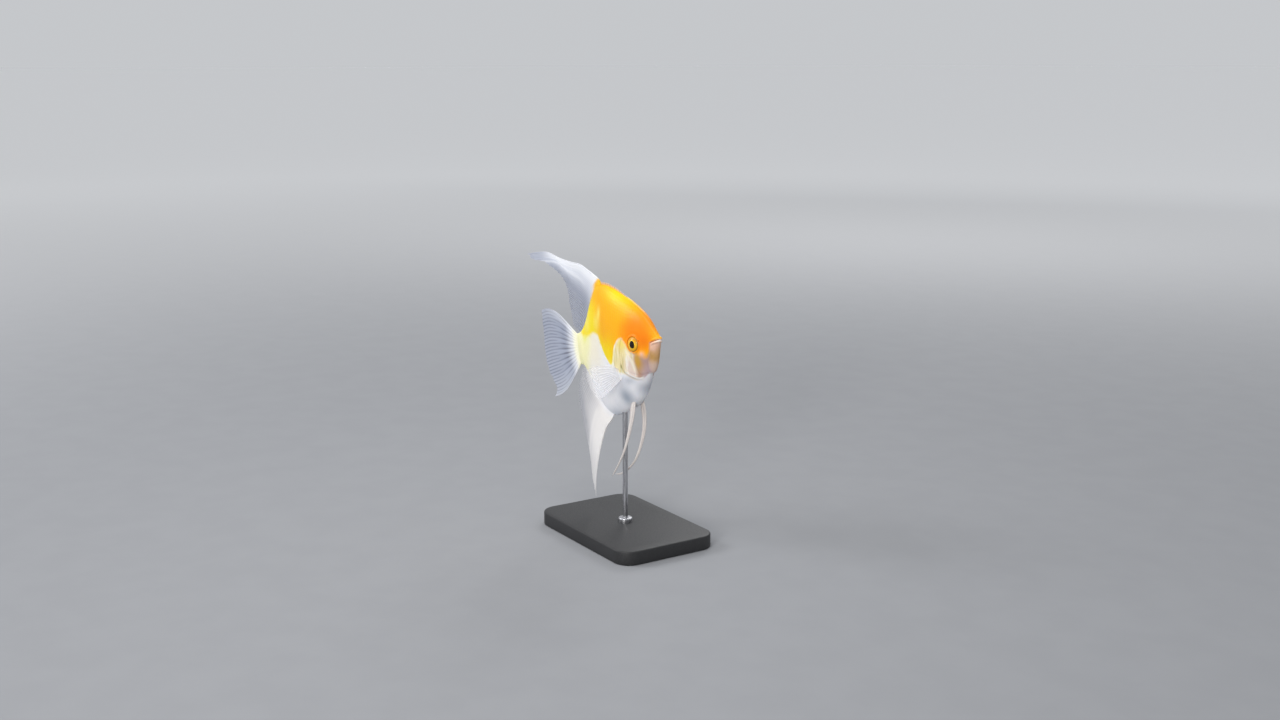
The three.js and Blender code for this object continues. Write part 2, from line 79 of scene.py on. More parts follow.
# A curve through one column of the stations, smooth and with no overshoot
def smoothColumn(column):
    x, y = np.array(stations)[:, [0, column]].T
    h = np.diff(x)
    slope = np.diff(y) / h
    tangent = np.concatenate([slope[:1], np.zeros(len(x) - 2), slope[-1:]])
    for i, (before, after) in enumerate(zip(slope, slope[1:]), 1):
        if before * after > 0:
            tangent[i] = 2 * before * after / (before + after)

    def value(at):
        i = np.clip(np.searchsorted(x, at, side="right") - 1, 0, len(x) - 2)
        t = np.clip((at - x[i]) / h[i], 0, 1)
        rise = t * t * (3 - 2 * t)
        bow = tangent[i] * t * (1 - t) ** 2 + tangent[i + 1] * t * t * (t - 1)
        return y[i] * (1 - rise) + y[i + 1] * rise + bow * h[i]

    return value


backLine, bellyLine, halfWidth, backSharp, bellySharp = (smoothColumn(i) for i in range(1, 6))


# Runs smoothly from 0 at the first value to 1 at the second
def ease(low, high, value):
    t = np.clip((value - low) / (high - low), 0, 1)
    return t * t * (3 - 2 * t)


def bump(distance, width):
    return np.exp(-((distance / width) ** 2))


# The bent middle line of the fish, from above
spineS = np.linspace(0, 2.2, 2201)
spineTurn = math.radians(fish["tailBend"]) * ease(*fish["bend"], spineS)
spineX, spineY = (
    -np.concatenate([[0], np.cumsum(part(spineTurn[:-1]) * spineS[1])]) for part in (np.cos, np.sin)
)


# Straight fish to its place on the stand: columns s, y, z
def posed(places):
    s, y, z = places.T
    z = z * fish["length"]
    turn = np.interp(s, spineS, spineTurn)
    x = (np.interp(s, spineS, spineX) - np.minimum(s, 0)) * fish["length"] - y * np.sin(turn)
    across = np.interp(s, spineS, spineY) * fish["length"] + y * np.cos(turn)
    tilt = math.radians(fish["noseUp"])
    ahead = fish["snout"][0] + x * math.cos(tilt) - z * math.sin(tilt)
    high = fish["snout"][2] + x * math.sin(tilt) + z * math.cos(tilt)
    return np.stack([ahead, across, high], -1)


# Signed distance in millimetres from points to a side-view line, positive on its left
# as it runs, and how far along it the nearest place is
def lineDistance(s, z, line):
    px, pz = s * bodyMm, z * bodyMm
    best, sign, along = np.full(s.shape, 1e9), np.ones(s.shape), np.zeros(s.shape)
    corners = np.array(line, float) * bodyMm
    lengths = np.hypot(*np.diff(corners, axis=0).T)
    run = 0.0
    for a, b, size in zip(corners, corners[1:], lengths):
        d = (b - a) / size
        t = np.clip((px - a[0]) * d[0] + (pz - a[1]) * d[1], 0, size)
        ox, oz = px - (a[0] + d[0] * t), pz - (a[1] + d[1] * t)
        gap = np.hypot(ox, oz)
        near = gap < best
        best = np.where(near, gap, best)
        sign = np.where(near, np.sign(d[0] * oz - d[1] * ox + 1e-12), sign)
        along = np.where(near, (run + t) / lengths.sum(), along)
        run += size
    return best * sign, along


# Signed distance to a closed side-view patch, positive inside
def patchDistance(s, z, patch):
    closed = patch + patch[:1]
    gap = np.abs(lineDistance(s, z, closed)[0])
    inside = np.zeros(s.shape, bool)
    for (s0, z0), (s1, z1) in zip(closed, closed[1:]):
        crosses = (z0 > z) != (z1 > z)
        inside ^= crosses & (s < (s1 - s0) * (z - z0) / (z1 - z0 + 1e-12) + s0)
    return np.where(inside, gap, -gap)


# Distance in millimetres from a side-view spot, or in its half sizes
def spotDistance(s, z, spot, wide=1.0, tall=1.0):
    return np.hypot((s - spot[0]) * bodyMm / wide, (z - spot[1]) * bodyMm / tall)


# Smooth curve through a few corners
def softened(corners, parts=8):
    points = np.array(corners, float)
    ends = np.concatenate([points[:1], points, points[-1:]])
    out = []
    for p0, p1, p2, p3 in zip(ends, ends[1:], ends[2:], ends[3:]):
        v0, v1 = (p2 - p0) * 0.5, (p3 - p1) * 0.5
        cubic, square = 2 * p1 - 2 * p2 + v0 + v1, 3 * p2 - 3 * p1 - 2 * v0 - v1
        out += [cubic * t**3 + square * t**2 + v0 * t + p1 for t in np.arange(parts) / parts]
    return np.array(out + [points[-1]])


# How far along a path each of its points lies
def runOf(path):
    return np.concatenate([[0], np.cumsum(np.linalg.norm(np.diff(path, axis=0), axis=1))])


def curveAt(corners, t, parts=40):
    path = softened(corners, parts)
    run = runOf(path)
    return np.stack([np.interp(t * run[-1], run, column) for column in path.T], -1)


face = {
    "gape": [(-0.02, -0.0015), (0.0, -0.0025), (0.03, -0.004), (0.063, -0.0095), (0.078, -0.016)],
    "maxilla": [(0.078, -0.016), (0.087, -0.05), (0.104, -0.085), (0.136, -0.122)],
    "jawEdge": [(0.104, -0.085), (0.126, -0.14), (0.14, -0.185), (0.146, -0.225)],
    "preopercle": [(0.3, 0.02), (0.285, -0.03), (0.264, -0.075), (0.244, -0.115), (0.233, -0.155),
                   (0.228, -0.19), (0.212, -0.225)],
    "opercle": [(0.285, 0.05), (0.315, 0.035), (0.338, 0.0), (0.352, -0.04), (0.36, -0.09),
                (0.361, -0.135), (0.352, -0.168), (0.335, -0.187), (0.31, -0.203),
                (0.279, -0.219), (0.25, -0.234), (0.229, -0.24), (0.209, -0.237), (0.19, -0.226),
                (0.174, -0.214), (0.161, -0.213), (0.148, -0.221), (0.135, -0.228)],
    "shoulder": [(0.345, 0.045), (0.375, 0.025), (0.403, -0.004), (0.43, -0.045), (0.45, -0.095),
                 (0.452, -0.13), (0.43, -0.16)],
    "branchiostegal": [(0.325, -0.16), (0.29, -0.186), (0.25, -0.204), (0.2, -0.212),
                       (0.165, -0.205)],
    "eye": (0.217, -0.008),
    "eyeRadius": 4.05,
    "nostrils": [(0.162, 0.006, 0.36), (0.172, -0.007, 0.26)],
    "cheekBump": (0.153, -0.079),
    "finPad": (0.396, -0.19),
}
for name in ("preopercle", "opercle", "shoulder", "branchiostegal"):
    face[name] = softened(face[name])

# Plain folds: the line, how the fold fades by station and along it, its ridges and the painted
# shade in its crease, each of these as height or depth, gap from the line and width in millimetres
folds = [
    ("gape", lambda s, t: ease(0.082, 0.074, s), [(-0.5, 0, 0.22)], (0.8, 0, 0.22)),
    ("gape", lambda s, t: ease(0.085, 0.045, s),
     [(0.34, -0.95, 0.55), (0.26, 0.85, 0.5), (-0.12, -1.9, 0.4)], (0, 0, 1)),
    ("maxilla", lambda s, t: ease(1.0, 0.7, t),
     [(-0.13, 0, 0.35), (0.08, -0.8, 0.7)], (0.3, 0, 0.3)),
    ("jawEdge", lambda s, t: ease(0, 0.3, t), [(-0.16, 0, 0.4)], (0.15, 0, 0.4)),
    ("branchiostegal", lambda s, t: ease(0, 0.1, t), [(-0.14, 0, 0.35)], (0, 0, 1)),
    ("branchiostegal", lambda s, t: 1, [], (0.16, 0, 0.35)),
]


# The two sides of a step at a line, each fading away from it
def flap(gap, soft, inner, outer):
    inside = ease(-soft, soft, -gap)
    return inside * bump(np.maximum(-gap, 0), inner), (1 - inside) * bump(np.maximum(gap, 0), outer)


def shownBetween(along, rise, fall):
    return ease(0, rise, along) * ease(*fall, along)


# How far the skin stands out from the plain loft, in millimetres, and how much shade is painted in
# its creases
def skinRelief(s, z):
    rise, creaseShade = np.zeros(s.shape), np.zeros(s.shape)
    for name, fade, ridges, (deep, off, wide) in folds:
        gap, along = lineDistance(s, z, face[name])
        for high, at, broad in ridges:
            rise += high * bump(gap - at, broad) * fade(s, along)
        creaseShade = np.maximum(creaseShade, deep * bump(gap - off, wide) * fade(s, along))

    gap, along = lineDistance(s, z, face["preopercle"])
    ends = shownBetween(along, 0.12, (1.0, 0.88))
    inner, outer = flap(gap, 0.4, 0.9, 1.4)
    rise += (0.1 * outer - 0.2 * inner) * ends
    creaseShade = np.maximum(creaseShade, 0.16 * bump(gap + 0.3, 0.4) * ends)

    gap, along = lineDistance(s, z, face["shoulder"])
    ends = shownBetween(along, 0.2, (1.0, 0.85))
    rise += 0.16 * flap(gap, 0.15, 1.8, 1.0)[0] * ends
    creaseShade = np.maximum(creaseShade, 0.12 * bump(gap, 0.25) * ends)

    gap, along = lineDistance(s, z, face["opercle"])
    ends = shownBetween(along, 0.12, (0.88, 0.7))
    low = ease(0.42, 0.6, along)  # the cover's lower edge is softer
    cover, gully = flap(gap, 0.42 + 0.33 * low, 3.0, 0.7 + 0.2 * low)
    rise += ((0.36 - 0.06 * low) * cover - (0.42 - 0.17 * low) * gully) * ends
    creaseShade = np.maximum(creaseShade, 0.85 * gully * ends)

    # fine grooves fan over the cover
    fan = np.arctan2(z - 0.06, s - 0.25)
    inside = ease(0.2, 1.2, -gap) * ease(0.235, 0.27, s) * ease(0.02, -0.02, z)
    rise += 0.035 * np.sin(fan * 46) * inside

    fromRim = spotDistance(s, z, face["eye"]) - face["eyeRadius"]
    rise -= 1.7 * ease(0.1, -0.45, fromRim)
    rise += 0.26 * bump(fromRim - 0.45, 0.4) - 0.16 * bump(fromRim - 1.7, 0.8)
    creaseShade = np.maximum(creaseShade, 0.6 * bump(fromRim + 0.1, 0.3))

    for at, high, radius in face["nostrils"]:
        d = spotDistance(s, z, (at, high))
        rise -= 0.5 * ease(radius * 1.25, radius * 0.5, d)
        rise += 0.12 * bump(d - radius * 1.7, 0.25)
        creaseShade = np.maximum(creaseShade, ease(radius * 1.2, radius * 0.5, d))

    rise += 0.42 * bump(spotDistance(s, z, face["cheekBump"]), 1.4)
    rise += 0.55 * bump(spotDistance(s, z, face["finPad"], 1.5, 3.1), 1.0)
    return rise, creaseShade


# Rings of the plain body: places for stations s and angles
def bodyPlaces(s, angle):
    up, across = np.sin(angle), np.cos(angle)
    sharp = np.where(up > 0, backSharp(s), bellySharp(s))
    high = np.where(up > 0, backLine(s), -bellyLine(s))
    y = halfWidth(s) * fish["length"] * np.sign(across) * np.abs(across) ** sharp
    return np.stack([s, y, high * up], -1)


def bodyNormals(s, angle):
    ds, da = 0.0015, 0.02
    back = bodyPlaces(np.minimum(s + ds, 1.0), angle) - bodyPlaces(np.maximum(s - ds, 0.0), angle)
    around = bodyPlaces(s, angle + da) - bodyPlaces(s, angle - da)
    normal = np.cross(back * toMetres, around * toMetres)
    return normal / np.maximum(np.linalg.norm(normal, axis=-1, keepdims=True), 1e-12)


# Places on the skin, with its relief and an extra lift in metres
def skinPlaces(s, angle, lift):
    flat = bodyPlaces(s, angle)
    rise, creaseShade = skinRelief(flat[:, 0], flat[:, 2])
    out = (rise * millimetre * ease(0.0, 0.012, s) + lift)[:, None] * bodyNormals(s, angle)
    return flat + out / toMetres, creaseShade


cap = [
    (-0.05, 0.0), (0.0, -0.003), (0.03, -0.0045), (0.063, -0.0095), (0.08, -0.014), (0.087, -0.042),
    (0.1, -0.077), (0.118, -0.1), (0.138, -0.106), (0.162, -0.096), (0.188, -0.082),
    (0.207, -0.072), (0.223, -0.067), (0.25, -0.056),
    (0.27, -0.036), (0.285, -0.01), (0.302, 0.018), (0.325, 0.039), (0.352, 0.038), (0.385, 0.02),
    (0.413, -0.003), (0.436, -0.038), (0.454, -0.075), (0.47, -0.105), (0.49, -0.121),
    (0.512, -0.122), (0.55, -0.082), (0.58, -0.04), (0.612, 0.011), (0.654, 0.08), (0.69, 0.1),
    (0.72, 0.103), (0.76, 0.1), (0.8, 0.092), (0.85, 0.085), (0.9, 0.1), (0.93, 0.12),
    (0.96, 0.2), (1.4, 0.3), (1.4, 0.9), (-0.05, 0.9),
]
creamPatch = [
    (0.325, 0.045), (0.348, 0.042), (0.371, 0.024), (0.393, 0.0), (0.416, -0.036), (0.432, -0.073),
    (0.448, -0.105), (0.452, -0.135), (0.43, -0.165), (0.385, -0.18), (0.339, -0.19),
    (0.279, -0.222), (0.25, -0.235), (0.239, -0.2), (0.239, -0.155), (0.241, -0.12),
    (0.236, -0.085), (0.25, -0.052), (0.27, -0.032), (0.285, -0.006), (0.302, 0.022),
]
# Soft spots of each colour: strength, station, height, half length, half height, tilt
spots = {
    "gold": [(0.9, 0.025, 0.015, 0.03, 0.03, 0)],
    "yellow": [(0.75, 0.42, 0.33, 0.14, 0.05, 0.42)],
    "pale": [(0.55, 0.66, 0.175, 0.045, 0.055, 0), (0.7, 0.62, 0.235, 0.022, 0.04, 0),
             (0.75, 0.83, 0.19, 0.05, 0.07, 0), (0.6, 0.505, -0.125, 0.045, 0.035, 0)],
    # faceShade: painted shade, a darker orange on the face in front of the eye
    "faceShade": [(0.9, 0.12, 0.0, 0.06, 0.06, 0)],
    "butter": [(0.5, 0.84, 0.05, 0.07, 0.07, 0), (1.0, 0.442, -0.06, 0.08, 0.018, -1.18)],
    "lime": [(0.75, 0.87, 0.085, 0.035, 0.03, -0.8)],
    # greyAndShade: the lobes around the middle of the belly are its own see-through grey; the lobes
    # on the chest, under the gill cover and along the lower belly edge are painted shade
    "greyAndShade": [(0.8, 0.405, -0.35, 0.07, 0.06, 0.15), (0.25, 0.4, -0.25, 0.13, 0.09, 0),
             (0.66, 0.222, -0.31, 0.06, 0.05, 0), (0.5, 0.62, -0.46, 0.14, 0.05, 0),
             (0.45, 0.31, -0.238, 0.055, 0.028, 0)],
    "cheek": [(1.15, 0.203, -0.12, 0.03, 0.064, 0.1)],
    "rosy": [(1.0, 0.285, -0.15, 0.045, 0.06, 0.3), (1.0, 0.262, -0.205, 0.035, 0.025, 0)],
    "golden": [(0.75, 0.325, 0.004, 0.05, 0.042, 0)],
    "jawPink": [(0.5, 0.06, -0.06, 0.02, 0.03, 0)],
    # pimpleAndHighlight: the cheek bump's own pink, lightened as a painted highlight
    "pimpleAndHighlight": [(1.0, 0.153, -0.083, 0.019, 0.017, 0)],
    "bright": [(0.8, 0.0, -0.008, 0.035, 0.009, 0), (0.8, 0.15, -0.214, 0.014, 0.009, 0)],
    "olive": [(1.0, 0.37, -0.143, 0.01, 0.017, 0), (0.35, 0.38, -0.172, 0.014, 0.012, 0)],
}
markNames = ["cap", "gold", "yellow", "pale", "faceShade", "warm", "butter", "lime", "greyAndShade", "cream",
             "blush", "lilac", "cheek", "rosy", "golden", "jaw", "jawPink", "jawLow", "strip",
             "pimpleAndHighlight", "bright", "olive", "creaseShade"]


# Where each colour lies on the body, from 0 to 1; cap is a distance in millimetres
def markings(places, creaseShade):
    s, y, z = places.T
    inCover = -lineDistance(s, z, face["opercle"])[0]
    rear = ease(0.53, 0.71, s - 0.25 * z) * (1 - 0.75 * ease(0.27, 0.37, z))
    wedge = 0.5 * ease(0.12, -0.06, z) * ease(0.36, 0.5, s)
    head = ease(-0.2, 0.5, inCover) * ease(0.27, 0.2, s + 0.15 * (z + 0.1))
    strip = ease(0.4, 2.6, y / millimetre) * ease(0.2, 0.15, s)
    rim = bump(inCover - 0.45, 0.5) * ease(-0.16, -0.2, z) * ease(0.19, 0.22, s)
    flash = bump(lineDistance(s, z, face["preopercle"])[0] - 1.0, 0.9)
    flash *= ease(-0.02, -0.06, z) * ease(-0.21, -0.16, z)
    marks = {
        "gold": ease(0.04, 0.19, np.hypot((s - 0.19) * 0.9, z - 0.075)),
        "yellow": 0.95 * rear + 1.6 * wedge,
        "pale": 0.7 * ease(0.88, 0.97, s),
        "warm": ease(0.52, 0.72, s) * ease(-0.28, -0.02, z),
        "butter": ease(0.76, 0.9, s + 0.3 * z) * ease(-0.3, -0.08, z),
        "cream": ease(-1.5, 0.9, patchDistance(s, z, creamPatch)),
        "blush": head,
        "lilac": ease(-0.13, -0.2, z) * ease(0.225, 0.185, s),
        "jaw": ease(0.135, 0.085, s + 0.2 * (z + 0.1)),
        "jawPink": ease(-0.085, -0.03, z),
        "jawLow": ease(-0.11, -0.165, z + 0.25 * (0.1 - s)),
        "strip": 0.8 * strip * (z < 0) * ease(-0.19, -0.14, z),
        "bright": rim + 0.4 * flash,
        # painted shade in the creases, the gill gully, the eye socket rim and the nostrils
        "creaseShade": creaseShade,
    }
    for name, lobes in spots.items():
        for strong, at, high, wide, tall, tilt in lobes:
            c, n = math.cos(tilt), math.sin(tilt)
            a, b = s - at, z - high
            down, off = (a * c + b * n) / wide, (b * c - a * n) / tall
            lobe = strong * np.exp(-(down**2) - off**2)
            if name == "gold":
                marks[name] = np.maximum(marks[name], lobe)
            else:
                marks[name] = marks.get(name, 0) + lobe
    marks = {name: np.clip(value, 0, 1) for name, value in marks.items()}
    cheekSide = ease(0.095, 0.125, s) * ease(0.26, 0.19, s) * ease(-0.03, -0.06, z)
    flankSide = 0.5 * ease(0.56, 0.64, s) * ease(0.2, 0.1, z)
    marks["cap"] = patchDistance(s, z, cap) * (1 - 0.55 * cheekSide - flankSide)
    return marks


fishPaint = {
    "white": (0.90, 0.885, 0.90),
    "whiteCool": (0.83, 0.825, 0.87),
    "warm": (0.93, 0.86, 0.70),
    "butter": (0.94, 0.89, 0.50),
    "lime": (0.93, 0.90, 0.18),
    "deepOrange": (0.93, 0.235, 0.002),
    "gold": (0.95, 0.42, 0.002),
    "yellow": (0.95, 0.74, 0.006),
    "paleYellow": (0.96, 0.82, 0.16),
    "blush": (0.46, 0.29, 0.22),
    "mauve": (0.40, 0.27, 0.28),
    "chin": (0.62, 0.46, 0.37),
    "cheek": (0.55, 0.31, 0.06),
    "jaw": (0.62, 0.365, 0.16),
    "jawDeep": (0.48, 0.275, 0.09),
    "jawPink": (0.74, 0.46, 0.33),
    "lilac": (0.53, 0.39, 0.41),
    # darker orange for the painted shade on the face
    "faceShade": (0.80, 0.195, 0.002),
    "golden": (0.86, 0.66, 0.10),
    "strip": (0.82, 0.42, 0.05),
    # pink of the cheek bump, lightened as a painted highlight
    "pimpleAndHighlight": (0.85, 0.50, 0.33),
    "cream": (0.80, 0.69, 0.38),
    "creamShade": (0.63, 0.54, 0.24),
    "creamPink": (0.69, 0.565, 0.50),
    # grey of the see-through belly, also used as painted shade on the chest and lower belly
    "greyAndShade": (0.30, 0.34, 0.41),
    "olive": (0.28, 0.25, 0.05),
    "bright": (0.90, 0.90, 0.87),
    # the colour of the painted shade in creases
    "creaseShadeColour": (0.34, 0.16, 0.07),
}


# Adds nodes to one tree. What goes into a node is a socket, a number or a colour.
class Shading:
    def __init__(self, tree):
        self.tree = tree

    def put(self, socket, value):
        if hasattr(value, "is_output"):
            self.tree.links.new(value, socket)
        else:
            socket.default_value = (*value, 1.0) if socket.type == "RGBA" else value

    def add(self, kind, inputs=None, output=0, **settings):
        node = self.tree.nodes.new(kind)
        for key, value in settings.items():
            setattr(node, key, value)
        for key, value in (inputs or {}).items():
            self.put(node.inputs[key], value)
        return node.outputs[output]

    def mix(self, factor, first, second, blend="MIX"):
        inputs = {0: factor, 6: first, 7: second}
        return self.add("ShaderNodeMix", inputs, 2, data_type="RGBA", blend_type=blend)

    def math(self, operation, *values, clamp=False):
        inputs = dict(enumerate(values))
        return self.add("ShaderNodeMath", inputs, operation=operation, use_clamp=clamp)

    def plus(self, first, second):
        return self.math("ADD", first, second)

    def minus(self, first, second, clamp=False):
        return self.math("SUBTRACT", first, second, clamp=clamp)

    def times(self, first, second):
        return self.math("MULTIPLY", first, second)

    def ramp(self, value, low, high, start=0.0, end=1.0):
        inputs = {"Value": value, "From Min": low, "From Max": high, "To Min": start, "To Max": end}
        return self.add("ShaderNodeMapRange", inputs, interpolation_type="SMOOTHSTEP")

    def noise(self, scale, detail=3.0, roughness=0.5, turn=(0.0, 0.0, 0.0), stretch=None):
        place = self.add("ShaderNodeTexCoord", output="Object")
        if stretch:
            turned = {"Vector": place, "Rotation": turn, "Scale": stretch}
            place = self.add("ShaderNodeMapping", turned)
        inputs = {"Vector": place, "Scale": scale, "Detail": detail, "Roughness": roughness}
        return self.add("ShaderNodeTexNoise", inputs, "Fac")

    # A noise about zero
    def wobble(self, noise, strength):
        return self.times(self.minus(noise, 0.5), strength)

    def attribute(self, name):
        settings = {"attribute_type": "GEOMETRY", "attribute_name": name}
        return self.add("ShaderNodeAttribute", output="Fac", **settings)

    def lumps(self, height, strength, distance):
        inputs = {"Height": height, "Strength": strength, "Distance": distance}
        return self.add("ShaderNodeBump", inputs)

    def shade(self, inputs):
        for name, value in inputs.items():
            self.put(self.tree.nodes["Principled BSDF"].inputs[name], value)


def newMaterial(name):
    material = bpy.data.materials.new(name)
    material.use_nodes = True
    return material, Shading(material.node_tree)


# One group turns the marks into a colour, so the skin and the scales match
def coloursGroup():
    tree = bpy.data.node_groups.new("fishColours", "ShaderNodeTree")
    for name in markNames:
        tree.interface.new_socket(name, in_out="INPUT", socket_type="NodeSocketFloat")
    tree.interface.new_socket("Colour", in_out="OUTPUT", socket_type="NodeSocketColor")
    marks = tree.nodes.new("NodeGroupInput").outputs
    n = Shading(tree)
    patchy = n.noise(90.0, 4.0, 0.6)
    fine = n.noise(700.0, 3.0, 0.6)
    streak = n.noise(330.0, 3.0, 0.6, (0.0, -0.35, 0.0), (1.0, 1.0, 0.2))

    # Each layer is a mark painted with its own name's paint, or a mask and its paint
    def layered(colour, *layers):
        for layer in layers:
            mask, paint = (layer, layer) if isinstance(layer, str) else layer
            mask = marks[mask] if isinstance(mask, str) else mask
            paint = fishPaint[paint] if isinstance(paint, str) else paint
            colour = n.mix(mask, colour, paint)
        return colour

    cool = n.ramp(patchy, 0.35, 0.7), "whiteCool"
    # greyAndShade paints the belly's own grey and painted shade on the chest and lower belly
    white = layered(fishPaint["white"], cool, "warm", "butter", "lime", "greyAndShade")
    low = layered(fishPaint["blush"], (n.ramp(patchy, 0.4, 0.65), "mauve"), "lilac")
    deep = n.ramp(patchy, 0.35, 0.65), "jawDeep"
    jaw = layered(fishPaint["jaw"], deep, "jawPink", ("jawLow", "chin"))
    creamy = layered(
        fishPaint["creamShade"],
        (n.ramp(streak, 0.33, 0.54), "cream"),
        (n.ramp(patchy, 0.5, 0.7, 0.0, 0.7), "creamPink"),
        ("rosy", "creamPink"),
        (n.ramp(streak, 0.55, 0.72, 0.0, 0.8), "bright"),
        "golden",
    )
    # faceShade darkens the orange on the face as painted shade
    orange = layered(fishPaint["deepOrange"], "gold", "yellow", ("pale", "paleYellow"), "faceShade")
    edge = n.plus(n.plus(marks["cap"], n.wobble(patchy, 1.8)), n.wobble(fine, 0.8))
    body = layered(white, ("blush", low), "cheek", ("jaw", jaw), "strip", ("cream", creamy))
    # the cheek bump's pink carries a painted highlight
    body = layered(body, "bright", (n.ramp(edge, -0.7, 0.9), orange), "pimpleAndHighlight", "olive")
    # painted shade darkens the creases, the gill gully, the eye socket rim and the nostrils
    dark = n.mix(0.75, body, fishPaint["creaseShadeColour"], "MULTIPLY")
    body = n.mix(n.times(marks["creaseShade"], 0.75), body, dark)
    n.put(tree.nodes.new("NodeGroupOutput").inputs["Colour"], body)
    return tree


fishColours = coloursGroup()


def fishMaterial(name, look):
    material, n = newMaterial(name)
    marks = {mark: n.attribute(mark) for mark in markNames}
    colour = n.add("ShaderNodeGroup", marks, "Colour", node_tree=fishColours)
    if "tone" in look:
        toned = n.mix(1.0, colour, look["tone"], "MULTIPLY")
        colour = n.mix(n.attribute("tone"), colour, toned)
    grain = n.noise(900.0, 4.0, 0.6)
    rough = look["roughness"]
    n.shade({
        "Base Color": colour,
        "Roughness": n.ramp(grain, 0.3, 0.7, rough - 0.06, rough + 0.08),
        "Normal": n.lumps(grain, 0.35, look["grain"]),
        "Subsurface Weight": 0.12,
        "Subsurface Radius": (1.0, 0.5, 0.3),
        "Subsurface Scale": 0.0015,
        "Coat Weight": 0.04,
        "Coat Roughness": 0.22,
        "Specular IOR Level": 0.18,
    })
    return material


# Named values for a mesh's points, each an array or one number for them all
def setValues(mesh, values):
    for name, value in values.items():
        spread = (np.zeros(len(mesh.vertices)) + value).astype(np.float32)
        mesh.attributes.new(name, "FLOAT", "POINT").data.foreach_set("value", spread)


def getPlaces(piece):
    places = np.empty(len(piece.data.vertices) * 3)
    piece.data.vertices.foreach_get("co", places)
    return places.reshape(-1, 3)


def setPlaces(piece, places):
    piece.data.vertices.foreach_set("co", np.ascontiguousarray(places).ravel())
    piece.data.update()


# Selects these pieces alone, the first of them active
def only(*pieces):
    bpy.ops.object.select_all(action="DESELECT")
    for piece in pieces:
        piece.select_set(True)
    bpy.context.view_layer.objects.active = pieces[0]


# The piece an operator has just added, named, with its placing applied
def added(name):
    piece = bpy.context.object
    piece.name = piece.data.name = name
    only(piece)
    bpy.ops.object.transform_apply(location=True, rotation=True, scale=True)
    return piece


# A grid laid flat, one unit square: columns run with u, rows with v
def gridPiece(name, columns, rows):
    bpy.ops.mesh.primitive_grid_add(
        x_subdivisions=columns, y_subdivisions=rows, size=1.0, location=(0.5, 0.5, 0)
    )
    piece = added(name)
    piece.data.uv_layers[0].name = "OFBake"
    u, v, flat = getPlaces(piece).T.clip(0, 1)
    return piece, u, v


def finish(piece, material, nodes=(), sharp=180):
    only(piece)
    if sharp < 180:
        bpy.ops.object.shade_smooth_by_angle(angle=math.radians(sharp))
    else:
        bpy.ops.object.shade_smooth()
    piece.data.materials.append(material)
    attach(piece, "root")
    if nodes:
        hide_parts(*nodes)
    print(piece.name + ":", len(piece.data.polygons), "faces")


# Merges a rolled-up grid's seam, caps what is open and points its faces outwards
def closeShell(piece):
    only(piece)
    bpy.ops.object.mode_set(mode="EDIT")
    bpy.ops.mesh.select_all(action="SELECT")
    bpy.ops.mesh.remove_doubles(threshold=1e-7)
    bpy.ops.mesh.select_all(action="DESELECT")
    bpy.ops.mesh.select_mode(type="EDGE")
    bpy.ops.mesh.select_non_manifold()
    bpy.ops.mesh.edge_face_add()
    bpy.ops.mesh.select_all(action="SELECT")
    bpy.ops.mesh.normals_make_consistent(inside=False)
    bpy.ops.object.mode_set(mode="OBJECT")


skin = {
    "rings": 305,
    "around": 320,
    "lift": -0.00002,
    "roughness": 0.4,
    "grain": 0.00006,
    # where rings and lines crowd: how much, how widely and where
    "ringCrowds": [(2.6, 0.24, 0.0), (0.6, 0.05, 0.37)],
    "lineCrowds": [(1.4, 0.1, -0.06), (1.4, 0.1, math.pi + 0.06), (1.4, 0.1, 2 * math.pi - 0.06),
                   (0.7, 0.16, 0.5 * math.pi), (0.7, 0.16, 1.5 * math.pi), (0.8, 0.35, 4.05),
                   (0.8, 0.35, 5.37)],
}


# Spreads a run of grid lines so they crowd where asked
def crowded(t, high, least, crowds):
    x = np.linspace(0, high, 4000)
    density = least + sum(strong * bump(x - at, wide) for strong, wide, at in crowds)
    run = np.concatenate([[0], np.cumsum(density[1:] + density[:-1])])
    return np.interp(t, run / run[-1], x)


def makeSkin():
    piece, u, v = gridPiece("skin", skin["rings"], skin["around"])
    s = crowded(u, 1.0, 0.55, skin["ringCrowds"])
    angle = crowded(v, 2 * math.pi, 1.0, skin["lineCrowds"])
    places, creaseShade = skinPlaces(s, angle, skin["lift"])
    setValues(piece.data, markings(places, creaseShade))
    setPlaces(piece, posed(places))
    closeShell(piece)
    flesh = ["head", "lower_jaw", "gill_cover_left", "gill_cover_right", "trunk", "tail_stalk"]
    finish(piece, fishMaterial("fishSkin", skin), flesh)


makeSkin()


scales = {
    "columns": 34,
    "first": 0.205,  # body lengths, as the step between columns and the scales' length
    "step": 0.0235,
    "last": 0.985,
    "long": 0.034,
    "rowGap": 1.72,  # millimetres, as the scales' width
    "wide": 2.05,
    "buried": 0.32,  # how much of a scale lies ahead of its root
    "lift": 0.00009,
    "tuck": -0.00007,
    "crown": 0.00005,
    "free": (0.7, 0.6),  # bare skin left along the back and belly, and over a raised column
    "stray": (0.0006, 0.002),  # of a root's station and angle
    "seeds": {"left": 11, "right": 12},
    "tones": (0.21, 0.25),  # how far tones vary, and darken towards a scale's rear
    "patch": 0.003,  # side of each scale's patch on the unwrap
    "roughness": 0.38,
    "grain": 0.00003,
    "tone": (0.91, 0.89, 0.89),
}


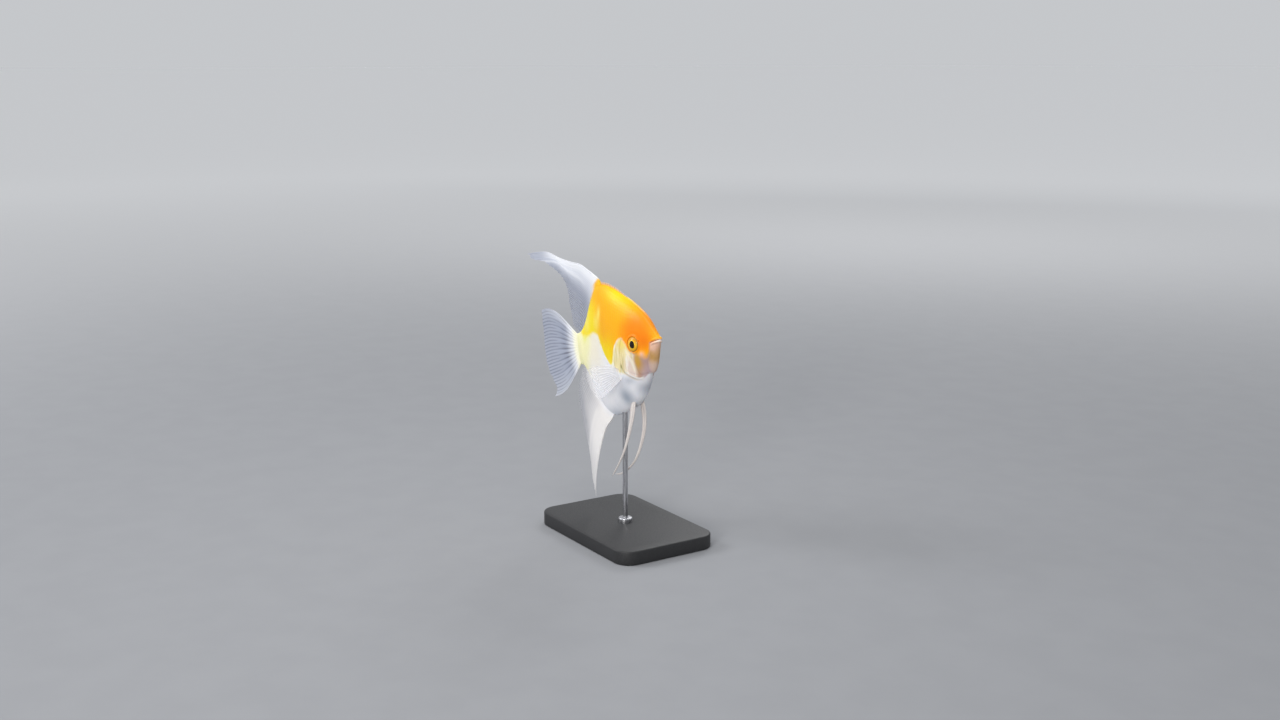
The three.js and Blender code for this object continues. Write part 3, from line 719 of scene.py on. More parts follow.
# One scale, a unit long, narrow at its buried front and round behind
def modelScale():
    piece, t, k = gridPiece("scaleShape", 4, 4)
    k = 2 * k - 1
    taper = np.sqrt(1 - (np.clip(t - 0.45, 0, 1) / 0.56) ** 2)
    breadth = 0.5 * taper * (0.8 + 0.2 * np.minimum(t / 0.4, 1))
    crown = (1 - k**2) * np.sin(math.pi * t)
    back = (t - scales["buried"]) * (1 - 0.1 * k**2)
    setPlaces(piece, np.stack([back, k * breadth, crown], -1))
    closeShell(piece)
    places, faces = getPlaces(piece), [list(face.vertices) for face in piece.data.polygons]
    bpy.data.objects.remove(piece)
    return places, faces


# Rows of roots on one side, every other column half a row higher
def scaleRoots(rng):
    angles = np.linspace(-0.5 * math.pi, 0.5 * math.pi, 721)
    gap, (free, freeOver), (strayS, strayAngle) = scales["rowGap"], scales["free"], scales["stray"]
    roots = []
    for i in range(scales["columns"]):
        s = scales["first"] + i * scales["step"]
        ring = bodyPlaces(np.full(angles.shape, s), angles)
        run = runOf(ring * toMetres) / millimetre
        run -= run[len(run) // 2]
        low, high = math.ceil((run[0] + free) / gap), math.floor((run[-1] - free) / gap)
        for w in (np.arange(low, high + 1) + 0.5 * (i % 2)) * gap:
            if w <= run[-1] - freeOver:
                a = np.interp(w, run, angles)
                z = np.interp(a, angles, ring[:, 2])
                roots.append((s + rng.normal(0, strayS), a + rng.normal(0, strayAngle), z))
    return np.array(roots).T


def makeScales(side, sideName, material):
    rng = np.random.default_rng(scales["seeds"][sideName])
    s, a, z = scaleRoots(rng)
    onFace = (lineDistance(s, z, face["opercle"])[0] < 0.9) & (s < 0.4)
    onFace |= patchDistance(s, z, creamPatch) > -1.3
    onFace |= (s + 0.55 * z < 0.33) & (z > -0.1)
    throat = (s < 0.3) & (z < -0.2)
    pad = spotDistance(s, z, face["finPad"], 2.2, 3.6) < 1
    keep = ~(onFace | throat | pad) & (s < scales["last"])
    s, a, z = s[keep, None], a[keep, None], z[keep, None]
    count = len(s)
    size = (0.62 + 0.38 * ease(0.24, 0.42, s)) * (1 - 0.3 * ease(0.85, 0.98, s))
    size *= rng.uniform(0.95, 1.05, (count, 1))
    shape, faces = modelScale()
    back, out, crown = shape.T
    reach = 0.01
    step = bodyPlaces(s[:, 0], a[:, 0] + reach) - bodyPlaces(s[:, 0], a[:, 0] - reach)
    perRadian = np.linalg.norm(step * toMetres, axis=1, keepdims=True) / (2 * reach)
    sAll = np.clip(s + back * scales["long"] * size, 0.002, 0.999)
    aAll = a + out * scales["wide"] * millimetre * size / np.maximum(perRadian, 1e-5)
    aAll = np.clip(aAll, -0.5 * math.pi, 0.5 * math.pi)
    raised = ease(0.0, 0.75, back + scales["buried"])
    fade = (0.5 + 0.5 * ease(0.28, 0.45, s)) * (1 - 0.65 * ease(-0.05, -0.27, z))
    proud = (scales["lift"] * raised + scales["crown"] * crown) * fade
    lift = scales["tuck"] * (1 - raised) + proud
    if side < 0:  # the mirrored side runs its corners the other way
        a, aAll = math.pi - a, math.pi - aAll
        faces = [corners[::-1] for corners in faces]
    places, creaseShade = skinPlaces(sAll.ravel(), aAll.ravel(), lift.ravel())
    each = len(shape)
    loose = [[i * each + corner for corner in corners] for i in range(count) for corners in faces]
    mesh = bpy.data.meshes.new("scales_" + sideName)
    mesh.from_pydata(posed(places), [], loose)
    vary, darken = scales["tones"]
    tone = vary * rng.uniform(0, 1, (count, 1)) + darken * ease(0.36, 0.66, back)
    # the scales carry half of the painted crease shade
    setValues(mesh, markings(places, creaseShade * 0.5) | {"tone": tone.ravel()})
    # each scale is a small patch at its root's place on the skin's own unwrap
    patchU = s + scales["patch"] * (back - 0.18)
    patchV = 0.25 + a / (2 * math.pi) + scales["patch"] * out  # its seam runs along the belly
    corners = np.concatenate(loose)
    uv = np.stack([patchU.ravel(), patchV.ravel()], -1)[corners].astype(np.float32)
    mesh.uv_layers.new(name="OFBake").data.foreach_set("uv", uv.ravel())
    piece = bpy.data.objects.new(mesh.name, mesh)
    bpy.context.scene.collection.objects.link(piece)
    finish(piece, material, sharp=50)


sides = ((1, "left"), (-1, "right"))
scaleMaterial = fishMaterial("fishScales", scales)
for side, sideName in sides:
    makeScales(side, sideName, scaleMaterial)


# What the fins share, unless a fin says otherwise
plainFin = {
    "thickest": 1.7,  # millimetres, as all the thicknesses
    "web": 0.16,
    "wander": 0.0,
    "raySpan": (-0.7, 0.8),
    "rayShift": 0.0,  # in rays
    "relief": 0.00008,
    "even": 0.35,
    "tint": (1.0, 1.0, 1.0),
    "ray": (0.82, 0.84, 0.90),
    "rayShade": (0.32, 0.35, 0.44),
    "membrane": (0.62, 0.65, 0.74),
    "membraneShade": (0.11, 0.12, 0.17),
    "strong": (0.85, 0.86, 0.90),
}


def finMaterial(name, spec):
    material, n = newMaterial(name)
    place = n.add("ShaderNodeUVMap", uv_map="rayUv")
    split = n.add("ShaderNodeSeparateXYZ", {"Vector": place}).node.outputs
    u, v = split["X"], split["Y"]
    turns = n.times(u, 2 * math.pi * spec["rays"])
    double = n.math("COSINE", n.plus(n.times(turns, 2.0), math.pi))
    waves = {0: n.ramp(v, *spec["fork"]), 2: n.math("COSINE", turns), 3: double}
    wave = n.add("ShaderNodeMix", waves, data_type="FLOAT")
    ray = n.ramp(n.plus(wave, n.wobble(n.noise(420.0), 0.6)), *spec["raySpan"])
    joints = n.math("SINE", n.times(v, spec["joints"]))
    shade, strong = n.attribute("shade"), n.attribute("strong")
    rayColour = n.mix(shade, spec["ray"], spec["rayShade"])
    gapColour = n.mix(shade, spec["membrane"], spec["membraneShade"])
    uneven = n.ramp(n.noise(190.0, 3.0, 0.6), 0.3, 0.65, spec["even"], 1.0)
    seen = n.times(n.times(n.minus(1.0, ray), n.attribute("contrast")), uneven)
    colour = n.mix(seen, rayColour, gapColour)
    speckle = n.ramp(n.noise(150.0, 4.0, 0.6), 0.4, 0.75, 0.0, 0.45)
    colour = n.mix(strong, n.mix(speckle, colour, rayColour), spec["strong"])
    colour = n.mix(1.0, colour, spec["tint"], "MULTIPLY")
    # the veil lets light through between the rays
    lost = n.times(n.attribute("veil"), n.minus(1.0, strong))
    gaps = n.ramp(ray, 0.0, 1.0, 1.0, spec["rayClear"])
    n.shade({
        "Base Color": n.mix(n.attribute("rootTint"), colour, spec["rootColour"]),
        "Alpha": n.minus(1.0, n.times(lost, gaps), clamp=True),
        "Normal": n.lumps(n.plus(ray, n.times(joints, 0.12)), 0.35, spec["relief"]),
        "Roughness": n.ramp(ray, 0.0, 1.0, 0.5, 0.38),
        "Specular IOR Level": 0.35,
        "Subsurface Weight": 0.3,
        "Subsurface Radius": (1.0, 0.95, 0.9),
        "Subsurface Scale": 0.002,
    })
    return material


def setThickness(piece, thickest, thickness):
    group = piece.vertex_groups.new(name="thick")
    weights = np.round(np.clip(thickness / thickest, 0.02, 1) * 100)
    for step in range(101):
        group.add(np.nonzero(weights == step)[0].tolist(), step / 100, "REPLACE")
    modifier = piece.modifiers.new("thickness", "SOLIDIFY")
    modifier.thickness = thickest * millimetre
    modifier.offset = 0.0
    modifier.vertex_group = "thick"
    modifier.thickness_vertex_group = 0.0
    only(piece)
    bpy.ops.object.modifier_apply(modifier=modifier.name)
    piece.vertex_groups.clear()


# Gives a fin its map along the rays, its looks, place, thickness and material
def finishFin(piece, u, v, spec, places, thickness, node):
    mesh = piece.data
    corners = np.empty(len(mesh.loops), dtype=np.int32)
    mesh.loops.foreach_get("vertex_index", corners)
    rayMap = np.stack([u + spec["rayShift"] / spec["rays"], v], -1)[corners].astype(np.float32)
    mesh.uv_layers.new(name="rayUv").data.foreach_set("uv", rayMap.ravel())
    mesh.uv_layers.active = mesh.uv_layers["OFBake"]
    looks = spec["looks"](u, v)
    setValues(mesh, {key: np.clip(value, 0, 1) for key, value in looks.items()})
    setPlaces(piece, posed(places))
    setThickness(piece, spec["thickest"], thickness)
    finish(piece, finMaterial(piece.name + "Rays", spec), [node], 60)


# Rays across the fin: 1 on a ray, 0 midway between two; each ray forks on its way out
def rayHeight(u, v, count, forkFrom, forkTo):
    fork = ease(forkFrom, forkTo, v)
    single, double = np.cos(2 * math.pi * count * u), -np.cos(4 * math.pi * count * u)
    return 0.5 + 0.5 * (single * (1 - fork) + double * fork)


# Fills the fin in between its four edges, swayed sideways
def finPlaces(edges, u, v, sway):
    a, b = u[:, None], v[:, None]
    place = (1 - a) * curveAt(edges["front"], v) + a * curveAt(edges["rear"], v)
    for key, part in (("root", 1 - b), ("margin", b)):
        first, last = np.array(edges[key])[[0, -1]]
        place += part * (curveAt(edges[key], u) - (1 - a) * first - a * last)
    return np.stack([place[:, 0], sway(u, v) * millimetre, place[:, 1]], -1)


def makeFin(name, spec, node):
    rays = spec["rays"]
    piece, u, v = gridPiece(name, rays * 8, spec["rows"])
    ends = np.linspace(0, 1, rays * 2 + 1)
    reach = 1 - spec["ragged"] * np.random.default_rng(spec["seed"]).uniform(0, 1, len(ends))
    reach[0] = reach[-1] = 1.0
    short = (1 - np.interp(u, ends, reach)) * ease(0.5, 1.0, v)
    high = rayHeight(u, v, rays, *spec["fork"])
    scallop = spec["scallop"] * (1 - high) * ease(0.3, 1.0, v)
    uBent = u + spec["wander"] * np.sin(7 * v + 5 * u) * u * (1 - u)
    places = finPlaces(spec["edges"], uBent, v * (1 - short - scallop), spec["sway"])
    pleat = spec["pleat"] * np.sin(math.pi * rays * u) * ease(0.05, 0.5, v)
    places[:, 1] += pleat * millimetre
    ray = spec["rayThick"] * (0.4 + 0.6 * (1 - v)) * (1 - 0.3 * u)
    ray += spec["edgeThick"] * np.exp(-22 * u) * (1 - 0.5 * v) - spec["web"]
    thickness = spec["web"] + spec["rootThick"] * (1 - v) ** 3
    thickness += ray.clip(0) * high * ease(0.02, 0.2, v)
    finishFin(piece, u, v, spec, places, thickness, node)


dorsalFin = plainFin | {
    "rays": 27, "rows": 64, "seed": 5, "ragged": 0.04, "scallop": 0.008, "wander": 0.01,
    "pleat": 0.03, "fork": (0.3, 0.6), "joints": 260.0, "rayClear": 0.8, "relief": 0.00006,
    "rootThick": 0.75, "rayThick": 0.26, "edgeThick": 0.5, "rootColour": (0.94, 0.50, 0.01),
    "edges": {
        "front": [(0.64, 0.4), (0.652, 0.448), (0.674, 0.47), (0.71, 0.495), (0.79, 0.544),
                  (0.87, 0.592), (0.97, 0.622), (1.09, 0.667), (1.2, 0.722), (1.305, 0.738),
                  (1.43, 0.742)],
        "margin": [(1.43, 0.742), (1.37, 0.696), (1.243, 0.66), (1.132, 0.592), (1.05, 0.51),
                   (1.02, 0.42), (1.018, 0.35), (1.002, 0.26), (0.997, 0.18)],
        "rear": [(0.945, 0.12), (0.972, 0.145), (0.997, 0.18)],
        "root": [(0.64, 0.4), (0.75, 0.355), (0.825, 0.26), (0.88, 0.175), (0.945, 0.12)],
    },
    "sway": lambda u, v: v * (-1.6 * v + 0.5 * np.sin(4 * v + 2 * u) + 0.4 * np.sin(9 * u + 2 * v)),
    "looks": lambda u, v: {
        "shade": 0.25 + 0.75 * np.maximum(ease(0.15, 0.62, u), 0.9 * ease(0.62, 0.92, v)),
        "contrast": 0.12 + 0.4 * ease(0.35, 0.75, u) * ease(0.1, 0.3, v)
        + 0.3 * ease(0.65, 0.95, v),
        "veil": 0.12 + 0.5 * ease(0.25, 0.75, u) + 0.06 * ease(0.8, 1, v),
        "strong": 0.78 * ease(0.27 - 0.1 * v, 0.04, u) * (1 - 0.9 * ease(0.6, 0.88, v))
        + 0.3 * ease(0.2, 0, v) * (1 - u)
        + 0.4 * bump(u - 0.36 + 0.12 * v, 0.045) * ease(0.15, 0.4, v),
        "rootTint": ease(0.1, 0.07, v) * ease(0.3, 0.1, u) + 0.6 * ease(0.07, 0.03, v) * (1 - u),
    },
}

analFin = plainFin | {
    "rays": 28, "rows": 64, "seed": 8, "ragged": 0.06, "scallop": 0.01, "wander": 0.012,
    "pleat": 0.03, "fork": (0.35, 0.65), "joints": 300.0, "rayClear": 0.88, "relief": 0.00004,
    "rootThick": 0.75, "rayThick": 0.22, "edgeThick": 0.5, "rootColour": (0.84, 0.83, 0.86),
    "tint": (1.0, 0.945, 0.87),
    "edges": {
        "front": [(0.665, -0.44), (0.73, -0.495), (0.805, -0.545), (0.877, -0.63),
                  (0.945, -0.74), (0.997, -0.85), (1.028, -0.94), (1.048, -1.026)],
        "margin": [(1.048, -1.026), (1.065, -0.93), (1.068, -0.78), (1.073, -0.62),
                   (1.083, -0.48), (1.1, -0.35), (1.09, -0.24), (1.045, -0.16)],
        "rear": [(0.95, -0.085), (0.99, -0.115), (1.045, -0.16)],
        "root": [(0.665, -0.44), (0.76, -0.4), (0.84, -0.295), (0.9, -0.18), (0.95, -0.085)],
    },
    "sway": lambda u, v: v * (1.2 * v + 0.5 * np.sin(3 * v - 2 * u) + 0.4 * np.sin(8 * u - v)),
    "looks": lambda u, v: {
        "shade": 0.1 + 0.4 * ease(0.2, 0.8, u) + 0.35 * ease(0.45, 0.85, v),
        "contrast": 0.06 + 0.2 * ease(0.15, 0.5, v) * u,
        "veil": 0.06 + 0.78 * ease(0.25, 0.9, u) + 0.1 * ease(0.7, 1, v),
        "strong": 0.75 * ease(0.4, 0.2, u) * (1 - 0.5 * ease(0.45, 0.8, v))
        + 0.8 * ease(0.25, 0, v) * (1 - 0.6 * u)
        + 0.4 * bump(u - 0.33, 0.04) * ease(0.1, 0.3, v),
        "rootTint": ease(0.14, 0.0, v),
    },
}

caudalFin = plainFin | {
    "rays": 14, "rows": 56, "seed": 3, "ragged": 0.02, "scallop": 0.006,
    "pleat": 0.06, "fork": (0.42, 0.8), "joints": 240.0, "rayClear": 0.35, "even": 0.8,
    "rootThick": 0.9, "rayThick": 0.46, "edgeThick": 0.35, "rootColour": (0.93, 0.89, 0.62),
    "raySpan": (-0.85, 0.1),
    "edges": {
        "front": [(0.985, 0.105), (1.04, 0.15), (1.12, 0.226), (1.2, 0.293), (1.29, 0.332),
                  (1.368, 0.328)],
        "margin": [(1.368, 0.328), (1.38, 0.26), (1.39, 0.16), (1.399, 0.06), (1.392, -0.04),
                   (1.355, -0.13), (1.315, -0.2), (1.298, -0.25), (1.33, -0.297)],
        "rear": [(0.985, -0.075), (1.05, -0.135), (1.12, -0.197), (1.19, -0.255),
                 (1.26, -0.286), (1.33, -0.297)],
        "root": [(0.985, 0.105), (0.99, 0.015), (0.985, -0.075)],
    },
    "sway": lambda u, v: 0.9 * np.sin(5 * u) * v * v,
    "looks": lambda u, v: {
        "shade": (0.25 + 0.75 * ease(0.12, 0.42, v)) * (1 - 0.2 * ease(0.7, 0.95, u)),
        "contrast": ease(0.1, 0.2, v)
        * (0.12 + 0.88 * bump(v - 0.3, 0.26) * bump(u - 0.5, 0.4) + 0.22 * ease(0.5, 0.9, v)),
        "veil": 0.12 + 0.12 * bump(v - 0.3, 0.25) + 0.2 * ease(0.55, 1, v),
        "strong": 0.5 * ease(0.14, 0.0, u) * (1 - 0.7 * ease(0.4, 1, v))
        + 0.3 * ease(0.93, 1.0, u) + 0.9 * ease(0.2, 0.08, v)
        + 0.4 * bump(v - 0.22, 0.12),
        "rootTint": ease(0.24, 0.06, v),
    },
}

pectoralFin = plainFin | {
    "rays": 13, "rows": 40, "seed": 4, "ragged": 0.035, "scallop": 0.005,
    "pleat": 0.04, "fork": (0.55, 0.9), "joints": 160.0, "rayClear": 0.85,
    "rootThick": 0.8, "rayThick": 0.34, "edgeThick": 0.16, "rootColour": (0.86, 0.85, 0.86),
    "raySpan": (0.1, 0.95), "tint": (1.08, 1.04, 0.98),
    "edges": {
        "front": [(0.385, -0.158), (0.48, -0.135), (0.6, -0.122), (0.705, -0.132)],
        "margin": [(0.705, -0.132), (0.722, -0.168), (0.71, -0.22), (0.68, -0.275),
                   (0.637, -0.32), (0.592, -0.338), (0.55, -0.335)],
        "rear": [(0.39, -0.222), (0.43, -0.252), (0.485, -0.292), (0.55, -0.335)],
        "root": [(0.385, -0.158), (0.383, -0.19), (0.39, -0.222)],
    },
    "looks": lambda u, v: {
        "shade": 0.0,
        "contrast": 0.15,
        "veil": 0.68 + 0.12 * ease(0.0, 0.2, v) + 0.1 * ease(0.65, 1.0, v),
        "strong": 0.1 * ease(0.05, 0.0, u) + 0.9 * ease(0.12, 0.02, v),
        "rootTint": ease(0.15, 0.0, v),
    },
}

makeFin("dorsalVeil", dorsalFin, "dorsal_fin_soft")
makeFin("analVeil", analFin, "anal_fin")
makeFin("tailFan", caudalFin, "caudal_fin")
for side, sideName in sides:
    spread = lambda u, v: side * (7.3 + 6.2 * v + 0.8 * np.sin(math.pi * u) * v)
    makeFin("pectoral_" + sideName, pectoralFin | {"sway": spread}, "pectoral_fin_" + sideName)


spinyRidge = plainFin | {
    "rays": 11, "rows": 14, "from": 0.335, "to": 0.634, "thickest": 1.2, "rayShift": 0.5,
    "low": 0.006, "taller": 0.015, "buried": 0.03, "lean": 0.45,
    "rayClear": 0.3, "fork": (2.0, 3.0), "joints": 30.0, "tint": (1.0, 0.80, 0.70),
    "rootColour": (0.90, 0.44, 0.10),
    "looks": lambda u, v: {
        "shade": 0.45,
        "contrast": 0.25,
        "veil": 0.1 + 0.3 * ease(0.6, 1, v),
        "strong": 0.0,
        "rootTint": 1 - 0.6 * ease(0.6, 1.0, v),
    },
}


def makeSpinyRidge(spec):
    piece, u, v = gridPiece("spinyRidge", spec["rays"] * 10, spec["rows"])
    s = spec["from"] + (spec["to"] - spec["from"]) * u
    peak = 0.5 - 0.5 * np.cos(2 * math.pi * spec["rays"] * u)
    tall = (spec["low"] + spec["taller"] * ease(0, 0.35, u)) * (0.82 + 0.18 * peak**1.6)
    climb = -spec["buried"] + (spec["buried"] + tall) * v
    places = np.stack([s + spec["lean"] * climb.clip(0), 0 * s, backLine(s) + climb], -1)
    thickness = (0.3 + 0.5 * peak**2) * (1.05 - 0.5 * v)
    finishFin(piece, u, v, spec, places, thickness, "dorsal_fin_spiny")


makeSpinyRidge(spinyRidge)


strands = {
    "rows": 90,
    "around": 20,
    "wide": (0.45, 2.4),  # millimetres from the middle at the tip, and more at the root
    "thin": (0.34, 0.4),
    # body lengths back, millimetres across, body lengths up
    "right": [(0.372, -2.6, -0.375), (0.385, -3.4, -0.43), (0.42, -3.6, -0.51),
              (0.494, -3.7, -0.626), (0.575, -3.8, -0.726), (0.672, -3.7, -0.813),
              (0.75, -3.6, -0.873)],
    "left": [(0.375, 2.6, -0.375), (0.384, 3.4, -0.43), (0.392, 3.6, -0.51),
             (0.424, 3.7, -0.594), (0.49, 3.8, -0.69), (0.578, 3.7, -0.782),
             (0.675, 3.5, -0.84), (0.755, 3.3, -0.868), (0.83, 3.2, -0.872)],
    "groove": (0.52, 0.475, 0.46),
    "ridge": (0.75, 0.69, 0.65),
    "speckle": (0.66, 0.60, 0.55),
}


def strandMaterial():
    material, n = newMaterial("pelvicStrand")
    ridge = n.attribute("ridge")
    colour = n.mix(ridge, strands["groove"], strands["ridge"])
    speckle = n.ramp(n.noise(300.0), 0.35, 0.75, 0.0, 0.35)
    n.shade({
        "Base Color": n.mix(speckle, colour, strands["speckle"]),
        "Alpha": n.ramp(n.attribute("along"), 0.5, 1.0, 1.0, 0.85),
        "Roughness": n.ramp(ridge, 0.0, 1.0, 0.5, 0.36),
        "Normal": n.lumps(n.noise(900.0), 0.4, 0.0001),
        "Subsurface Weight": 0.25,
        "Subsurface Radius": (1.0, 0.9, 0.85),
        "Subsurface Scale": 0.002,
    })
    return material


# A flat grooved strand that thins towards its tip
def makeStrand(sideName, material):
    piece, u, v = gridPiece("pelvic_" + sideName, strands["rows"], strands["around"])
    path = np.array(strands[sideName]) * (bodyMm, 1, bodyMm)
    t = u**1.15
    tangent = curveAt(path, t + 0.01, 30) - curveAt(path, t - 0.01, 30)
    broad = np.cross((0, 1, 0), tangent)
    broad /= np.linalg.norm(broad, axis=1, keepdims=True)
    flat = np.cross(tangent / np.linalg.norm(tangent, axis=1, keepdims=True), broad)
    tip = ease(0.93, 1.0, t)
    (wide, wider), (thin, thicker) = strands["wide"], strands["thin"]
    wide = (wide + wider * (1 - t) ** 2.1 * np.minimum(1, 0.55 + 4 * t)) * (1 - 0.75 * tip)
    angle = 2 * math.pi * v
    ridge = 0.5 + 0.5 * np.cos(5 * math.pi * np.cos(angle))
    thin = (thin + thicker * (1 - t)) * (1 - 0.6 * tip) * (0.72 + 0.28 * ridge)
    at = curveAt(path, t, 30)
    at += broad * (np.cos(angle) * wide)[:, None] + flat * (np.sin(angle) * thin)[:, None]
    setValues(piece.data, {"along": t, "ridge": ridge})
    setPlaces(piece, posed(at / (bodyMm, 1 / millimetre, bodyMm)))
    closeShell(piece)
    finish(piece, material, ["pelvic_fin_" + sideName], 60)


strandPaint = strandMaterial()
for sideName in ("left", "right"):
    makeStrand(sideName, strandPaint)


eyes = {
    "radius": 4.6,  # millimetres, as all but the place, the turn and the counts
    "halfDepth": 2.7,
    "at": (0.217, 0.0056, -0.008),
    "turn": 10.0,
    "segments": 56,
    "rings": 40,
    "pupil": 2.12,
    "pupilNarrow": 0.82,
    "iris": 4.0,
    "gaze": (0.6, -0.25),  # how far the pupil lies ahead of the middle and above it
    "dome": (0.18, 1.9),
    "gold": (0.90, 0.42, 0.01),
    "goldStreak": (0.98, 0.64, 0.03),
    "cloud": (0.72, 0.32, 0.01),
    "ring": (1.0, 0.68, 0.04),
    "brow": (0.60, 0.24, 0.01),
    "rim": (0.42, 0.19, 0.01),
    "black": (0.012, 0.006, 0.004),
}


def eyeMaterial():
    material, n = newMaterial("eyeGloss")
    out, pupil, iris = n.attribute("fromPupil"), eyes["pupil"], eyes["iris"]
    streak = n.noise(900.0, 4.0, 0.65)
    brow = n.ramp(n.attribute("brow"), 0.45, 0.8, 0.0, 0.75)
    colour = eyes["gold"]
    for mask, paint in (
        (n.ramp(streak, 0.35, 0.7), "goldStreak"),
        (n.ramp(n.noise(260.0), 0.4, 0.7, 0.0, 0.6), "cloud"),
        (n.ramp(out, pupil, pupil + 0.35, 1.0, 0.0), "ring"),
        (n.times(brow, n.ramp(out, pupil + 0.3, pupil + 1.1)), "brow"),
        (n.ramp(n.attribute("fromRim"), iris - 0.55, iris + 0.05), "rim"),
    ):
        colour = n.mix(mask, colour, eyes[paint])
    edge = n.plus(out, n.wobble(streak, 0.25))
    hole = n.ramp(edge, pupil - 0.08, pupil + 0.08, 1.0, 0.0)
    n.shade({
        "Base Color": n.mix(hole, colour, eyes["black"]),
        "Roughness": n.ramp(hole, 0.0, 1.0, 0.32, 0.12),
        "Normal": n.lumps(streak, 0.15, 0.00005),
        "Coat Weight": 0.25,
        "Coat Roughness": 0.03,
        "Specular IOR Level": 0.15,
    })
    return material


def makeEye(side, sideName, material):
    bpy.ops.mesh.primitive_uv_sphere_add(segments=eyes["segments"], ring_count=eyes["rings"])
    # the pole looks out of the head, a little forward
    turn = -side * math.radians(eyes["turn"])
    bpy.context.object.scale = (eyes["radius"], eyes["radius"], eyes["halfDepth"])
    bpy.context.object.rotation_euler = Euler((math.radians(-90 * side), 0, turn))
    piece = added("eyeball_" + sideName)
    spots = getPlaces(piece)
    ahead = np.array([math.cos(turn), math.sin(turn), 0.0])
    look = np.array([-math.sin(turn), math.cos(turn), 0.0]) * side
    depth = spots @ look
    out = np.linalg.norm(spots - np.outer(depth, look), axis=1)
    along = (spots @ ahead - eyes["gaze"][0]) / eyes["pupilNarrow"]
    fromPupil = np.hypot(along, spots[:, 2] - eyes["gaze"][1])
    out, fromPupil = np.where(depth > 0, (out, fromPupil), eyes["radius"])
    # a clear dome stands a little higher over the pupil
    high, wide = eyes["dome"]
    spots += np.outer(high * bump(fromPupil, wide) * (depth > 0), look)
    brow = 0.5 + (spots @ ahead * 0.45 + spots[:, 2] * 0.9) / 8
    setValues(piece.data, {"fromPupil": fromPupil, "fromRim": out, "brow": brow})
    middle = np.array(eyes["at"]) * (1, side, 1)
    setPlaces(piece, posed(middle + spots * millimetre / toMetres))
    finish(piece, material, ["eye_" + sideName])


eyePaint = eyeMaterial()
for side, sideName in sides:
    makeEye(side, sideName, eyePaint)


stand = {
    "base": (0.094, 0.062, 0.008),
    "corner": (0.010, 12),  # how far a rounding cuts in, and its strips
    "edge": (0.0008, 3),
    "rod": (0.0015, 40),  # radius and sides
    "rodFoot": 0.003,
    "rodTop": 0.0772,
    "flange": (0.004, 56),
    "flangeHeight": 0.0024,
    "flangeEdge": (0.0007, 4),
    "black": {
        "colour": (0.028, 0.028, 0.030), "dark": (0.014, 0.014, 0.015),
        "roughness": 0.52, "metallic": 0.0, "grain": 1400.0, "stretch": (1.0, 1.0, 1.0),
    },
    "steel": {
        "colour": (0.62, 0.62, 0.64), "dark": (0.42, 0.42, 0.44),
        "roughness": 0.28, "metallic": 1.0, "grain": 2600.0, "stretch": (1.0, 1.0, 0.04),
    },
}


def standMaterial(name, look):
    material, n = newMaterial(name)
    grain = n.noise(look["grain"], 3.0, 0.6, stretch=look["stretch"])
    tone = n.mix(n.ramp(grain, 0.35, 0.7), look["dark"], look["colour"])
    cloud = n.ramp(n.noise(60.0, 4.0, 0.6), 0.4, 0.8, 0.0, 0.35)
    rough = look["roughness"]
    n.shade({
        "Base Color": n.mix(cloud, tone, look["dark"]),
        "Roughness": n.ramp(grain, 0.3, 0.7, rough - 0.07, rough + 0.09),
        "Metallic": look["metallic"],
        "Normal": n.lumps(grain, 0.3, 0.00004),
    })
    return material


def bevelEdges(piece, chosen, rounding):
    only(piece)
    bpy.ops.object.mode_set(mode="EDIT")
    bpy.ops.mesh.select_mode(type="EDGE")
    bpy.ops.mesh.select_all(action="DESELECT")
    bpy.ops.object.mode_set(mode="OBJECT")
    for edge in piece.data.edges:
        a, b = (piece.data.vertices[i].co.z for i in edge.vertices)
        edge.select = chosen(a, b)
    bpy.ops.object.mode_set(mode="EDIT")
    bpy.ops.mesh.bevel(offset=rounding[0], segments=rounding[1])
    bpy.ops.object.mode_set(mode="OBJECT")


def roundBar(name, radius, sideCount, low, high):
    bpy.ops.mesh.primitive_cylinder_add(
        vertices=sideCount, radius=radius, depth=high - low, location=(0, 0, (low + high) / 2)
    )
    return added(name)


def makeStand():
    height = stand["base"][2]
    bpy.ops.mesh.primitive_cube_add(size=1, location=(0, 0, height / 2), scale=stand["base"])
    base = added("standPlinth")
    bevelEdges(base, lambda a, b: abs(a - b) > 0.5 * height, stand["corner"])
    bevelEdges(base, lambda a, b: abs(a - b) < 1e-6, stand["edge"])
    finish(base, standMaterial("standBlack", stand["black"]), ["stand_base"], 40)

    top = height + stand["flangeHeight"]
    rod = roundBar("standPin", *stand["rod"], stand["rodFoot"], stand["rodTop"])
    flange = roundBar("standFlange", *stand["flange"], height, top)
    bevelEdges(flange, lambda a, b: min(a, b) > 0.5 * (height + top), stand["flangeEdge"])
    only(rod, flange)
    bpy.ops.object.join()
    finish(rod, standMaterial("standSteel", stand["steel"]), ["stand_rod"], 40)


makeStand()


studio = {
    "azimuth": 57.0,
    "elevation": 12.0,
    "distance": 0.760889,
    "lens": 40,
    "sensor": 36,
    "shift": 0.011235,  # how far the picture's middle lies left of the snout and below it
    "floor": (0.31, 0.315, 0.33),
    "floorSpeck": (0.34, 0.345, 0.36),
    "farFloor": (1.0, 1.0, 1.0),
    "world": (0.80, 0.82, 0.85),
    "worldStrength": 0.7,
    "middle": (-0.01, 0, 0.11),
    # name, place, size, energy, colour, spread
    "lamps": [
        ("overhead", (0.05, -0.20, 0.85), 0.45, 2.0, (1.0, 1.0, 1.0), 180),
        ("frontFill", (0.74, -1.06, 0.42), 0.34, 1.42, (1.0, 0.99, 0.97), 80),
        ("sideFill", (-0.9, -1.0, 0.95), 0.6, 8.0, (0.97, 0.98, 1.0), 180),
        ("backRim", (-0.85, 1.0, 1.0), 0.6, 5.0, (1.0, 1.0, 1.0), 180),
    ],
}


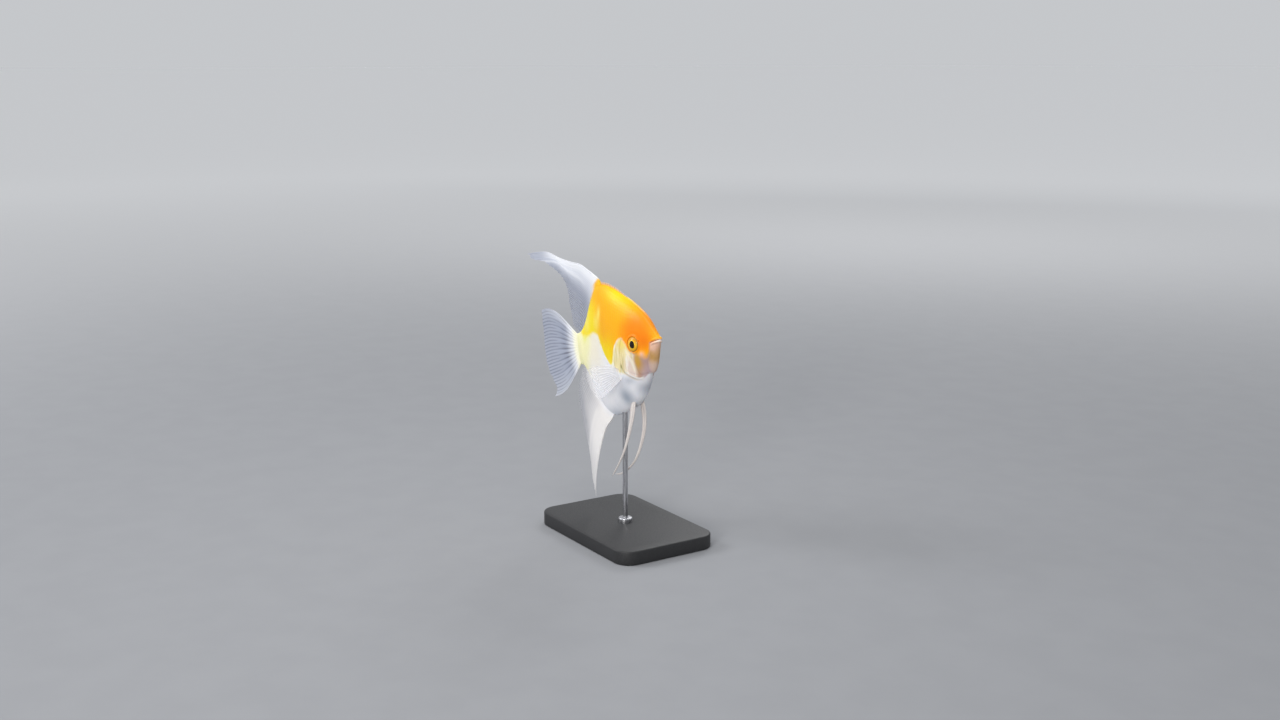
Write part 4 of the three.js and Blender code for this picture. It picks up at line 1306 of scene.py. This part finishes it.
def addThing(data, place, rotation):
    made = bpy.data.objects.new(data.name, data)
    bpy.context.scene.collection.objects.link(made)
    made.location = place
    made.rotation_euler = rotation
    return made


def makeFloor():
    bpy.ops.mesh.primitive_plane_add(size=80, location=(0, 0, 0))
    floor = bpy.context.object
    floor.name = "studioFloor"
    material, n = newMaterial("paleFloor")
    speck = n.ramp(n.noise(40.0, 4.0), 0.3, 0.7, 0.0, 0.3)
    colour = n.mix(speck, studio["floor"], studio["floorSpeck"])
    place = n.add("ShaderNodeTexCoord", output="Object")
    away = n.add("ShaderNodeVectorMath", {0: place}, "Value", operation="LENGTH")
    colour = n.mix(n.ramp(away, 0.3, 2.7), colour, studio["farFloor"])
    n.shade({"Base Color": colour, "Roughness": 0.9, "Specular IOR Level": 0.1})
    floor.data.materials.append(material)


def makeStudio():
    scene = bpy.context.scene
    scene.world = bpy.data.worlds.new("studioWorld")
    scene.world.use_nodes = True
    background = scene.world.node_tree.nodes["Background"]
    background.inputs["Color"].default_value = (*studio["world"], 1.0)
    background.inputs["Strength"].default_value = studio["worldStrength"]
    scene.view_settings.view_transform = "Standard"

    for name, place, size, energy, colour, spread in studio["lamps"]:
        data = bpy.data.lights.new(name, "AREA")
        data.shape = "DISK"
        data.size = size
        data.energy = energy
        data.color = colour
        data.spread = math.radians(spread)
        aim = Vector(studio["middle"]) - Vector(place)
        addThing(data, place, aim.to_track_quat("-Z", "Y").to_euler())

    a, e = math.radians(studio["azimuth"]), math.radians(studio["elevation"])
    toCamera = Vector((math.sin(a) * math.cos(e), -math.cos(a) * math.cos(e), math.sin(e)))
    right = Vector((math.cos(a), math.sin(a), 0))
    up = toCamera.cross(right)
    centre = Vector(fish["snout"]) - (right + up) * studio["shift"]
    data = bpy.data.cameras.new("studioCamera")
    data.lens = studio["lens"]
    data.sensor_width = studio["sensor"]
    data.clip_start = 0.01
    place = centre + toCamera * studio["distance"]
    scene.camera = addThing(data, place, Euler((math.pi / 2 - e, 0, a)))


makeFloor()
makeStudio()
print("studio done")
